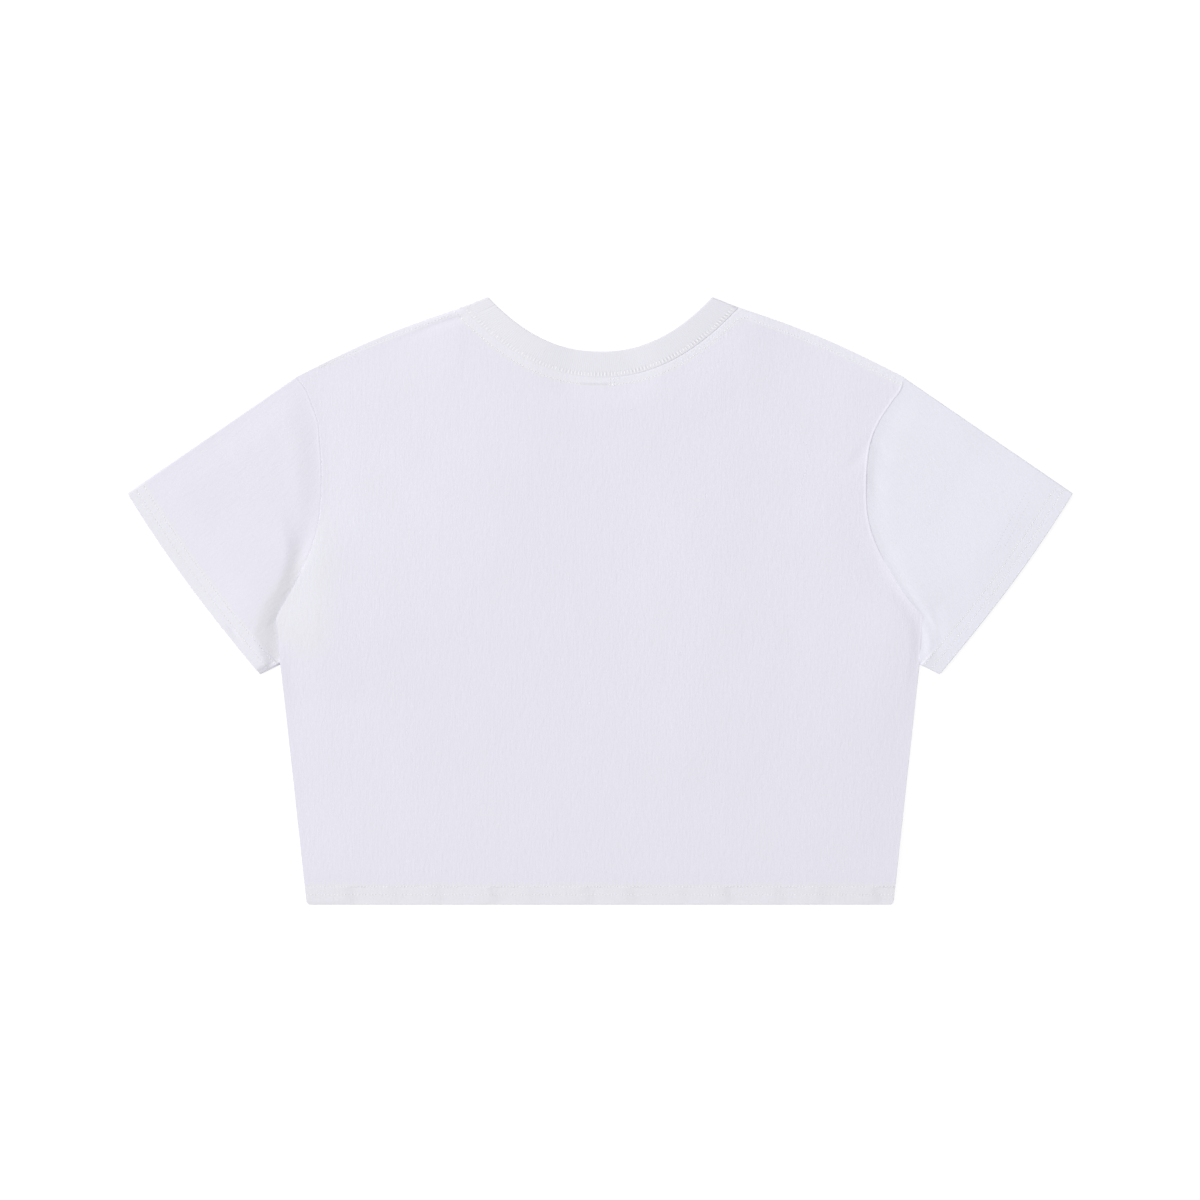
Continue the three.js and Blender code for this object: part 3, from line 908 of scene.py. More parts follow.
@dataclass(frozen=True)
class Panel:
    """One layer of jersey between its side edges, its hem and its neck and shoulders."""

    cut: Cut
    name: str
    node: str
    seam: NeckLine

    def rows(self) -> Array:
        """Heights of the grid's rows at the sides: close together at the hem, its stitches and the neck."""
        top = self.cut.shoulder_y - self.cut.hem_y
        body = ((18.2, 30, 1.5), (30, top - 26, 2.9), (top - 26, top - 13, 1.3), (top - 13, top - 4.4, 0.55))
        neck = ((top - 4.4, top - 1.2, 0.7), (top - 1.2, top - 0.3, 0.3), (top - 0.3, top, 0.1))
        return self.cut.hem_y + stations(*FOLD_SPANS, *body, *neck)

    def columns(self) -> Array:
        """Places of the grid's columns along the upper edge: close together at the armhole seams."""
        reach, neck = self.cut.shoulder_x, self.seam.reach
        half = stations(
            (0, neck, 2.6),
            (neck, reach - 26, 2.9),
            (reach - 26, reach - 10, 2.0),
            (reach - 10, reach - 4, 1.0),
            (reach - 4, reach - 1.2, 0.56),
            (reach - 1.2, reach - 0.3, 0.3),
            (reach - 0.3, reach, 0.1),
        )
        return np.concatenate([-half[:0:-1], half])

    def plan(self) -> tuple[Array, Array]:
        """Plan points of the grid.

        A row runs straight between the body's two edges, and takes on the upper edge's shape by the share
        of the way up to it.

        Returns:
            X and Y, each of shape (rows, columns).
        """
        y, top_x = self.rows()[:, None], self.columns()[None, :]
        share = (top_x + self.cut.shoulder_x) / (2 * self.cut.shoulder_x)
        x = mix(-self.cut.reach(Side.LEFT, y), self.cut.reach(Side.RIGHT, y), share)
        low = self.cut.hem_y + self.cut.turn_up + 4
        risen = np.maximum(0, (y - low) / (self.cut.shoulder_y - low))
        return x, y + risen * (self.cut.top(self.seam, top_x) - self.cut.shoulder_y)

    def insets(self, x: Array, y: Array) -> tuple[Array, Array, Array]:
        """How far plan points lie in from the hem, the nearer side and the upper edge, square to each.

        Args:
            x: Across the garment.
            y: Up the garment.

        Returns:
            The three distances.
        """
        side = np.minimum(self.cut.side_inset(Side.LEFT, x, y), self.cut.side_inset(Side.RIGHT, x, y))
        inside = np.minimum(np.abs(x), self.cut.shoulder_x)
        steep = self.cut.top(self.seam, inside + 0.5) - self.cut.top(self.seam, inside - 0.5)
        return y - self.cut.hem_y, side, (self.cut.top(self.seam, inside) - y) / np.hypot(1, steep)

    def edge(self, x: Array, y: Array) -> Array:
        """Share of the half thickness that the rounded edges leave."""
        hem, side, top = self.insets(x, y)
        sewn = np.where(np.abs(x) < self.seam.reach, 0.2, 0.5)
        return np.minimum.reduce([rounded(hem, 0.5), rounded(side, 0.2), rounded(top, sewn)])

    def rope(self, x: Array, y: Array) -> Array:
        """Roping of the hem: between the twists the cloth climbs slowly, and at each it drops.

        Args:
            x: Across the garment.
            y: Up the garment.

        Returns:
            Height on the outer face, straight lines between the tops and feet of the twists.
        """
        twists = np.array(HEM_TWISTS)
        height = ROPE_HEIGHT * (0.7 + 0.3 * np.cos(np.arange(len(twists)) * 2.3))
        at = np.stack([twists - ROPE_DROP / 2, twists + ROPE_DROP / 2], axis=1).ravel()
        tops = np.stack([height, -height], axis=1).ravel() / 2
        hem = y - self.cut.hem_y
        slanted = x + ROPE_SLANT * (hem - self.cut.near_row)
        return np.interp(slanted, at, tops) * smooth(0, 3, hem) * (1 - smooth(13.4, 14.6, hem))

    def shell(self, over: Array, under: Array) -> Piece:
        """Closes the panel's two faces, given their heights, into a piece with its knit map.

        Args:
            over: Height of the upper face at the grid's points.
            under: Height of the lower face.

        Returns:
            The piece.
        """
        x, y = self.plan()
        piece = closed_sheet(self.name, x, y, over, under)
        set_knit_map(piece, np.tile(x.ravel(), 2), np.tile(y.ravel(), 2))
        return piece

    def area(self) -> float:
        """Area of the cut in square metres: the laid-out panel and its turned-up hem."""
        return (laid_area(*self.plan()) + 2 * self.cut.hem_reach * self.cut.turn_up) * MM * MM

    def flat(self) -> tuple[float, float]:
        """Width and length of the cut in metres."""
        x, y = self.plan()
        return float(np.ptp(x) * MM), float((np.ptp(y) + self.cut.turn_up) * MM)


@dataclass(frozen=True)
class BackPanel(Panel):
    """The back, which lies on top."""

    creases: tuple[Crease | Swell, ...] = BACK_CREASES
    shoulder_row: float = 6.3  # from the right shoulder's fold to its stitch row
    left_row: float = 3.5  # the same at the left shoulder, where the seam lies nearer the fold

    def over_front_rib(self, x: Array, y: Array) -> Array:
        """One where the back lies over the front's rib, fading softly away from it.

        Args:
            x: Across the garment.
            y: Up the garment.

        Returns:
            The share, from 0 to 1.
        """
        edge, seam = self.cut.front_edge, self.cut.front_seam
        inside = np.minimum(np.abs(x), seam.reach)
        high = edge.height(np.minimum(inside, edge.reach))
        low = seam.height(inside)
        steep = np.hypot(1, seam.slope(inside))
        beyond = np.maximum(0, np.abs(y - (high + low) / 2) - (high - low) / 2) / steep
        return 1 - smooth(6, 62, np.hypot(beyond, np.abs(x) - inside))

    def neck(self, x: Array, y: Array) -> Array:
        """Distance of plan points from the back neck seam."""
        beside = np.maximum(0, np.abs(x) - self.cut.back_seam.reach)
        return np.hypot(np.maximum(0, self.cut.back_seam.below(x, y)), beside)

    def row_depth(self, x: Array) -> Array:
        """Distance from a shoulder's fold to its stitch row; on the left it shrinks towards the sleeve."""
        return np.where(x > 0, self.shoulder_row, mix(self.left_row, 1.7, smooth(150, 225, -x)))

    def lie(self, x: Array, y: Array) -> Array:
        """Height of the outer face over the layers under it, with the folds and the slack.

        The doubled hem holds the cloth above it up, the neck seam is as high as the rib, and between them
        the cloth comes down to lie on the front.

        Args:
            x: Across the garment.
            y: Up the garment.

        Returns:
            The height.
        """
        cut = self.cut
        hem, side, top = self.insets(x, y)
        neck = self.neck(x, y)
        rib_lift = cut.cloth + 0.9 * (1 - smooth(16, 60, neck))
        hem_lift = 2 * cut.turned_wall * (1 - smooth(cut.turn_up + 4, 100, hem))
        level = cut.layer + cut.cloth + self.over_front_rib(x, y) * rib_lift
        level = level + hem_lift + 0.22 * bell(hem - 25, 7)
        rib_top = cut.rib_level(np.clip(x / cut.back_seam.reach, -1, 1)) + cut.rib_half
        level = mix(level, rib_top, 1 - smooth(3, 26, neck))
        free = smooth(16, 60, hem) * smooth(0, 34, side) * smooth(6, 44, top)
        slack = undulation(x, y, 150, 0.16, 3) + undulation(x, y, 42, 0.035, 4)
        ridge = through(*np.transpose(RIGHT_SEAM), y) * bell(side, mix(4, 26, smooth(40, 75, y)))
        seam = np.where(x > 0, ridge, 0)
        lie = level + seam + lifts(self.creases, x, y) + free * (slack + 0.6)
        shoulder = smooth(cut.back_seam.reach, cut.back_seam.reach + 2.5, np.abs(x))
        rolled = 1 - rounded(top, np.where(x > 0, 2.2, 3.2))
        return lie - (lie - cut.layer - cut.cloth - 0.1) * shoulder * rolled

    def tape_end(self, x: Array) -> Array:
        """One along the stretch where the tape's end lies across its lower row, zero away from it."""
        return smooth(-14.6, -13, x) * (1 - smooth(5, 6.6, x))

    def neck_relief(self, x: Array, neck: Array) -> Array:
        """The neck's pulled-in row, the step down to the rib's seam, and the step over the tape's end.

        Args:
            x: Across the garment.
            neck: Distance from the neck seam.

        Returns:
            The height that it adds.
        """
        inside = np.abs(x) < self.cut.back_seam.reach
        row = np.where(inside | (x < 0), 0.1 * bell(neck - self.cut.neck_row, 0.6), 0)
        step = (1 - smooth(0, 1.3, neck)) * mix(-0.06, 0.36, smooth(-50, 70, x))
        return self.tape_end(x) * (0.3 * bell(neck - 4.3, 0.8) - 0.3 * bell(neck - 5.5, 0.6)) - row - step

    def shoulder_relief(self, x: Array, top: Array) -> Array:
        """The shoulders' pulled-in rows, each with the cloth beside it that stands up.

        Args:
            x: Across the garment.
            top: Distance from the upper edge.

        Returns:
            The height that it adds.
        """
        away = smooth(self.cut.back_seam.reach + 2, self.cut.back_seam.reach + 10, np.abs(x))
        past = top - self.shoulder_row
        right = away * (x > 0) * (0.12 * bell(past - 1.3, 0.7) - 0.08 * bell(past, 0.6))
        row = self.row_depth(x)
        band = 0.1 * bell(top - 0.62 * row, 0.5) + 0.06 * bell(top - 0.9, 0.4) - 0.12 * bell(top - row, 0.6)
        return right + away * (x < 0) * (1 - smooth(190, 222, -x)) * band

    def side_relief(self, x: Array, y: Array, side: Array, top: Array) -> Array:
        """The lips along the armhole seams, and the right side's edge below the sleeve.

        Args:
            x: Across the garment.
            y: Up the garment.
            side: Distance from the nearer side.
            top: Distance from the upper edge.

        Returns:
            The height that it adds.
        """
        armpit = self.cut.armhole[0][0]
        right = smooth(armpit - 4, armpit + 14, y) * smooth(1, 6, top)
        high = smooth(36, 56, y)
        right *= mix(0.3, 0.5, high) * bell(side - mix(0.3, 0.9, high), mix(1.6, 0.8, high))
        below = 0.25 * bell(side - 0.8, 0.9) * smooth(-62, -52, y) * (1 - smooth(-16, -8, y))
        left = 0.16 * bell(side - 0.6, np.where(side < 0.6, 0.6, 2.6)) * smooth(6, 40, y) * smooth(1, 6, top)
        return np.where(x > 0, right + below, 0) + np.where(x < 0, left, 0)

    def relief(self, x: Array, y: Array) -> Array:
        """Small relief of the outer face: roping, pulled-in stitch rows, seam lips and the tape's end.

        Args:
            x: Across the garment.
            y: Up the garment.

        Returns:
            The height that it adds.
        """
        hem, side, top = self.insets(x, y)
        relief = self.rope(x, y) - 0.06 * self.cut.rows(hem) * smooth(0, 1, side)
        relief += self.neck_relief(x, self.neck(x, y)) + self.shoulder_relief(x, top)
        return relief + self.side_relief(x, y, side, top)

    def over(self, x: Array, y: Array) -> Array:
        """Height of the outer face: it curves down to half its thickness at the panel's edges."""
        wall = self.cut.wall(y - self.cut.hem_y)
        return self.lie(x, y) + self.relief(x, y) * self.edge(x, y) - wall / 2 * (1 - self.edge(x, y))

    def under(self, x: Array, y: Array) -> Array:
        """Height of the inner face."""
        wall = self.cut.wall(y - self.cut.hem_y)
        return self.lie(x, y) - wall / 2 * (1 + self.edge(x, y))

    def doubled(self, x: Array, y: Array) -> Array:
        """Layers that back the cloth, one at the hem and tape and two at the shoulders, and painted light by
        the left armpit.

        Args:
            x: Across the garment.
            y: Up the garment.

        Returns:
            The layers and the painted light, up to two.
        """
        hem, _, top = self.insets(x, y)
        neck = self.neck(x, y)
        away = smooth(self.cut.back_seam.reach - 4, self.cut.back_seam.reach + 4, np.abs(x))
        row = self.row_depth(x)
        doubled = self.cut.turned(hem) + 1.6 * (1 - smooth(5, 9, neck)) * (1 - away)
        doubled += away * 2.0 * (1 - smooth(row + 1.0, row + 2.2, top)) * (1 - smooth(195, 222, -x))
        # painted light: a paler patch inside the left armhole, and the left side paler, where more light
        # falls
        slanted = y + 0.35 * (x + 252)
        patch = smooth(-200, -228, x) * smooth(-44, -14, slanted) * (1 - smooth(36, 84, y))
        left = 0.15 * smooth(-120, -215, x) * smooth(-60, 20, y)
        return np.clip(doubled + 1.15 * patch + left, 0, 2)

    def build(self, finishes: Finishes) -> Piece:
        """Builds and dresses the back.

        Args:
            finishes: The materials to wear.

        Returns:
            The piece.
        """
        x, y = self.plan()
        piece = self.shell(self.over(x, y), self.under(x, y))
        cast = 0.25 * smooth(-40, 200, x) * smooth(-60, 120, y)
        for height, across, up, wide, tall in PALER_PATCHES:
            cast = cast + height * bell(np.hypot((x - across) / wide, (y - up) / tall), 1.0)
        # painted shade: a dark line along the lower neck row where the tape's end lies across it
        pulled = 0.65 * self.tape_end(x) * bell(self.neck(x, y) - self.cut.neck_row, 0.38)
        dress(piece, finishes.jersey, {LAYERS_AND_PAINTED_LIGHT: self.doubled(x, y), CAST: cast, PAINTED_SHADE: pulled})
        return piece


@dataclass(frozen=True)
class FrontPanel(Panel):
    """The front, which lies under the back, its outer face on the table."""

    def curl(self, x: Array, y: Array) -> Array:
        """Lift of the left side's edge, which goes up with the back's roll."""
        side = self.cut.side_inset(Side.LEFT, x, y)
        roll = lifts((LEFT_ROLL, LEFT_EDGE), -self.cut.reach(Side.LEFT, y) + 0 * x, y + 0 * x)
        return roll * (1 - smooth(self.cut.base_y - 4, self.cut.base_y, y)) * (1 - smooth(0, 9, side))

    def build(self, finishes: Finishes) -> Piece:
        """Builds and dresses the front.

        Args:
            finishes: The materials to wear.

        Returns:
            The piece.
        """
        x, y = self.plan()
        cut = self.cut
        hem, _, _ = self.insets(x, y)
        edge = self.edge(x, y)
        wall = cut.wall(hem)
        neck = cut.front_seam.below(x, y)
        near = np.abs(x) < cut.front_seam.reach
        groove = cut.rows(hem) + np.where(near, bell(neck - self.cut.neck_row, 0.7), 0)
        lift = self.curl(x, y)
        piece = self.shell(lift + wall / 2 * (1 + edge), lift + wall / 2 * (1 - edge) + 0.3 * groove * edge)
        doubled = np.clip(cut.turned(hem) + np.where(near, 1 - smooth(5, 9, neck), 0), 0, 1)
        dress(piece, finishes.jersey, {LAYERS_AND_PAINTED_LIGHT: doubled})
        return piece


# -------------------- Sleeves --------------------

# how much more neutral the cloth looks in the valley beside the left armpit, where only bounced light comes
VALLEY = Swell(
    rows=((-54, -256, 1.2, 9, 12), (-40, -258, 1.5, 10, 14), (-20, -260, 1.6, 10, 18), (4, -250, 1.5, 9, 18),
          (24, -240, 1.0, 7, 14), (50, -238, 0.0, 7, 12))
)
LEFT_SLEEVE_CREASES = (
    # the sleeve's cloth swells beside the body's edge and falls steeply to it
    Swell(
        rows=(
            (-62, -261, 1.4, 18, 5), (-52, -262, 3.1, 22, 5), (-45, -265, 3.7, 28, 6.5),
            (-37, -269.5, 3.6, 34, 9), (-27, -272, 3.6, 40, 12), (-15, -270, 3.5, 44, 12.5),
            (-4, -265.5, 3.3, 46, 12.5), (8, -258, 3.0, 46, 12), (20, -251.5, 2.8, 46, 10.5),
            (32, -247.5, 2.8, 46, 9), (45, -247.5, 2.5, 46, 8), (58, -250, 1.3, 46, 8),
            (76, -253, 0.0, 40, 8),
        )
    ),
    Crease(knots=((-259, 138, 0.0), (-252, 124, -0.25), (-246, 112, 0.0)), left=5.0, right=4.0),
    Crease(knots=((-254, 112, 0.0), (-247, 96, -0.2), (-240, 84, 0.0)), left=6.0, right=5.0),
    Crease(knots=((-303, 127, -0.3), (-294, 116, -0.2), (-286, 106, 0.0)), left=5.0, right=5.0),
    # a pucker at the cuff
    Crease(knots=((-288, -22, -0.9), (-283, -29, -0.6), (-277, -36, 0.0)), left=1.6, right=3.0),
)
RIGHT_SLEEVE_CREASES = (
    # a small fold stands beside the corner of the armpit
    Crease(
        knots=((253.5, -13, 0.0), (255.5, -22, 0.75), (257.5, -31, 1.0), (257.5, -40, 0.8), (256, -46, 0.0)),
        left=3.0,
        right=3.2,
    ),
    Crease(knots=((253, -39, 0.0), (251.5, -46, 1.2), (250, -54, 1.7)), left=8.0, right=9.0),
    Crease(knots=((222, 36, 0.0), (237, 18, 1.2), (249, 2, 1.2), (257, -9, 0.0)), left=26.0, right=11.0),
    Crease(knots=((262, -2, 0.0), (264, -14, -0.6), (267, -28, -0.5), (266, -42, 0.0)), left=5.0, right=4.5),
    # cloth drawn together where the sleeve's head is sewn in
    Crease(knots=((216, 124, -0.4), (221, 117, -0.5), (229, 112, 0.0)), left=4.0, right=5.0),
    Crease(knots=((212, 96, -0.45), (217, 90, -0.5), (224, 84, 0.0)), left=5.0, right=6.0),
    Crease(knots=((280, 112, 0.0), (285, 110, -0.14), (291, 104, 0.0)), left=1.6, right=2.4),
    Crease(knots=((262, 150, 0.0), (278, 136, 0.3), (300, 118, 0.0)), left=8.0, right=10.0),
)


@dataclass(frozen=True)
class Sleeve:
    """One piece of jersey closed to a tube by its underarm seam, flattened, with a turned-up cuff."""

    cut: Cut
    side: Side
    name: str
    node: str
    creases: tuple[Crease | Swell, ...]
    seam_fade: float  # how far from the armhole seam it comes down from the body's height
    backed: float  # how much its turned-up cuff looks doubled
    tuck: float  # how far the upper layer goes in under the body's edge at the armpit
    loft: float  # how high the upper layer stands over the flat lie
    cast: float  # how far its cloth looks bluer than the body's
    back: BackPanel  # which its seam follows
    band: float = 20.0  # width of the cuff band, whose rings run along the cuff

    def start(self, share: Array, tuck: float) -> tuple[Array, Array]:
        """Plan points on the armhole seam at shares of the way from the shoulder down, on +X.

        They lie a hair inside the body's edge, so that the seam closes, and further in where the cloth
        tucks in under the body.

        Args:
            share: Shares of the length walked down the seam.
            tuck: Furthest way in under the body, at the armpit.

        Returns:
            X and Y.
        """
        y = np.linspace(self.cut.shoulder_y, self.cut.base_y, 600)
        x = self.cut.reach(self.side, y)
        length = walked(x, y)
        left_x, left_y = sideways(x, y)
        inward = 2 * self.cut.lap + tuck * self.tucked(y)
        at = share * length[-1]
        return np.interp(at, length, x - inward * left_x), np.interp(at, length, y - inward * left_y)

    def cuff(self, share: Array) -> tuple[Array, Array]:
        """Plan points on the cuff's folded edge, slightly bowed, at shares of the way from its top, on +X.

        Args:
            share: Shares of the cuff's width.

        Returns:
            X and Y.
        """
        (ax, ay), (bx, by) = self.cut.cuff_outer, self.cut.cuff_inner
        run = np.hypot(bx - ax, by - ay)
        bow = self.cut.cuff_bow * np.sin(np.pi * share**self.cut.cuff_bow_power) / run
        return mix(ax, bx, share) + bow * (ay - by), mix(ay, by, share) - bow * (ax - bx)

    def rings(self) -> tuple[Array, Array, Array]:
        """Places of the sleeve's rings.

        Returns:
            Distances from the armhole where the seam region is unshortened, shares of the way from there
            to the cuff band, and depths in from the cuff's edge; each ring has one of the three.
        """
        seam = stations((0, 0.3, 0.1), (0.3, 1.2, 0.3), (1.2, 4, 0.56), (4, 12, 1.3))
        middle = np.linspace(0, 1, 56)[1:]
        band = stations(*FOLD_SPANS, (18.2, self.band, 0.9))
        return seam, middle, band[::-1][1:]

    def columns(self) -> Array:
        """Shares of the way from the top fold to the underarm fold, close together at both."""
        width = self.cut.cuff_width
        half = stations((0, 1.4, 0.2), (1.4, 5, 0.7), (5, width / 2, 2.2)) / width
        return np.concatenate([half, 1 - half[-2::-1]])

    def layer_plan(self, share: Array, tuck: float) -> tuple[Array, Array, Array, Array]:
        """Plan points of one layer.

        Each ring's point is on the straight line from its seam point to its cuff point. Near the underarm
        that line is short, so the distances shrink with it.

        Args:
            share: Shares across the sleeve, of shape (rings, columns) or (1, columns).
            tuck: The layer's tuck under the body.

        Returns:
            X, Y, distance from the armhole and distance from the cuff's edge, all (rings, columns).
        """
        seam, middle, band = self.rings()
        rings = len(seam) + len(middle) + len(band)
        share = np.broadcast_to(share, (rings, share.shape[-1]))
        sx, sy = self.start(share, tuck)
        cx, cy = self.cuff(share)
        length = np.hypot(sx - cx, sy - cy)
        body = length - np.minimum(self.band, 0.9 * length)
        shrunk = np.minimum(1, body / 24)
        first, last = slice(0, len(seam)), slice(rings - len(band), rings)
        between = slice(len(seam), rings - len(band))
        near = seam[:, None] * shrunk[first]
        far = mix(12 * shrunk[between], body[between], middle[:, None])
        limit = np.interp(band, (0, 8, 16, self.band), (0, 0.4, 0.75, 0.9))
        depth = np.minimum(band[:, None], limit[:, None] * length[last])
        from_seam = np.concatenate([near, far, length[last] - depth])
        part = from_seam / length
        return mix(sx, cx, part), mix(sy, cy, part), from_seam, length - from_seam

    def surface(self, share: Array, upper: bool, outer: bool) -> dict[str, Array]:
        """One face of one layer of the flattened tube.

        The tube's section is a flat loop: at its two folds the face follows a quarter circle down to the
        middle height. The doubled cuff holds the cloth beside it up, so that only the inner face steps.

        Args:
            share: Shares across the sleeve, from the top fold to the underarm fold, as one row.
            upper: The layer towards the garment's back, or the one on the table.
            outer: The tube's outer face, or its inner one.

        Returns:
            Arrays x, y, z, seam (distance from the armhole) and cuff (distance from the cuff's edge).
        """
        cut = self.cut
        tuck = self.tuck if upper else 0.0
        _, _, seam, cuff = self.layer_plan(share, tuck)
        wall = cut.wall(cuff)
        held = cut.cloth + cut.turned_wall * (1 - smooth(cut.turn_up + 2, 80, cuff)) * smooth(1, 16, seam)
        held = np.maximum(held, wall)
        edge = np.minimum(rounded(seam, 0.2), rounded(cuff, 0.5))
        centre = held + cut.gap / 2
        radius = centre - wall / 2 * (1 - (edge if outer else -edge))
        inset = (centre - radius) / cut.cuff_width
        x, y, seam, cuff = self.layer_plan(inset + share * (1 - 2 * inset), tuck)
        along = walked(x, y)
        fold = np.minimum(along, along[:, -1:] - along)
        sign = self.side.value
        rise = rounded(fold, radius)
        found = {"x": sign * x, "y": y, "seam": seam, "cuff": cuff}
        if not upper:
            dent = 0.3 * cut.rows(cuff) * edge * smooth(0, 2, fold) if outer else 0
            return {**found, "z": centre - radius * rise + dent}
        slack = undulation(sign * x, y, 90, 0.2, 8) + undulation(sign * x, y, 34, 0.05, 9)
        lift = lifts(self.creases, sign * x, y) * smooth(0, 6, fold)
        lift = lift + (slack + self.loft) * smooth(0, 26, fold) * smooth(2, 24, seam) * smooth(10, 40, cuff)
        lift = lift + self.follow(share) * bell(seam, self.seam_fade) * smooth(0, 3, fold)
        z = centre + radius * rise + lift
        if outer:
            z = z - 0.08 * cut.rows(cuff) * smooth(0, 2, fold) + self.relief(seam, y) * edge
        return {**found, "z": z}

    def tucked(self, y: Array) -> Array:
        """Share of the tuck under the body that is there at heights of the armhole."""
        return smooth(36, 14, y) * smooth(self.cut.base_y, self.cut.base_y + 8, y)

    def follow(self, share: Array) -> Array:
        """Lift that takes the upper layer to the body's height at the seam, but not where it tucks in."""
        x, y = self.start(share, 0.0)
        lie = self.back.lie(self.side.value * x, y) - self.cut.layer - self.cut.cloth
        return lie * (1 - (self.tuck > 0) * self.tucked(y))

    def relief(self, seam: Array, y: Array) -> Array:
        """Lip of the sleeve's cloth beside the armhole seam; on the left it rises from a groove."""
        if self.side is Side.LEFT:
            lip = 0.3 * bell(seam - 1.2, 0.9) * smooth(70, 120, y)
            return (lip - 0.4 * bell(seam, 1.1)) * smooth(6, 40, y)
        return 0.14 * bell(seam + 0.2, 1.3) * smooth(-24, -8, y)

    def build(self, finishes: Finishes) -> Piece:
        """Builds and dresses the sleeve.

        Args:
            finishes: The materials to wear.

        Returns:
            The piece.
        """
        share = self.columns()[None, :]
        faces = {(u, o): self.surface(share, u, o) for u in (True, False) for o in (True, False)}

        def loop(outer: bool, key: str) -> Array:
            """A value round the tube: along the upper layer, and back along the lower one."""
            return np.concatenate([faces[True, outer][key], faces[False, outer][key][:, -2:0:-1]], axis=1)

        shells = [np.stack([loop(o, k) for k in "xyz"], axis=-1) for o in (True, False)]
        rings, count = shells[0].shape[:2]
        points = np.concatenate([s.reshape(-1, 3) for s in shells])
        first = np.arange(count)
        last = first + (rings - 1) * count
        inner = rings * count
        quads = np.concatenate([
            grid_faces(rings, count, closed=True),
            grid_faces(rings, count, inner, closed=True)[:, ::-1],
            strip_faces(first + inner, first, closed=True),
            strip_faces(last, last + inner, closed=True),
        ])
        piece = new_piece(self.name, points, outward(points, quads))
        along = np.subtract(self.cut.cuff_outer, self.cut.cuff_inner)
        along = along / np.hypot(*along)
        away = self.side.value * points[:, 0]
        across = away * along[0] + points[:, 1] * along[1]
        set_knit_map(piece, across, away * along[1] - points[:, 1] * along[0])
        doubled = self.backed * np.tile(self.cut.turned(loop(True, "cuff")).ravel(), 2)
        # painted shade: a neutral tint in the valley beside the armpit, where the cloth lies in shade
        if self.side is Side.LEFT:
            doubled += 0.9 * VALLEY.lift(points[:, 0], points[:, 1])
        dress(piece, finishes.jersey, {LAYERS_AND_PAINTED_LIGHT: np.clip(doubled, 0, 2), CAST: np.array(self.cast)})
        return piece

    def area(self) -> float:
        """Area of the cut in square metres: both layers of the laid-out sleeve and the turned-up cuff."""
        x, y, _, _ = self.layer_plan(self.columns()[None, :], 0.0)
        return 2 * (laid_area(x, y) + self.cut.cuff_width * self.cut.turn_up) * MM * MM

    def flat(self) -> tuple[float, float]:
        """Width all round and length of the cut in metres."""
        x, y, _, _ = self.layer_plan(self.columns()[None, :], 0.0)
        top = np.hypot(x[-1, 0] - x[0, 0], y[-1, 0] - y[0, 0])
        round_it = 2 * walked(x[0], y[0])[-1]
        return float(round_it * MM), float((top + self.cut.turn_up) * MM)


# -------------------- Neck --------------------


def fold_way(edge: NeckLine, seam: NeckLine) -> Array:
    """Unit plan vector in which the rib's fold bulges at the right neck point, square to the rib's width."""
    out = np.array([edge.top - seam.top, seam.reach - edge.reach])
    return out / np.hypot(*out)


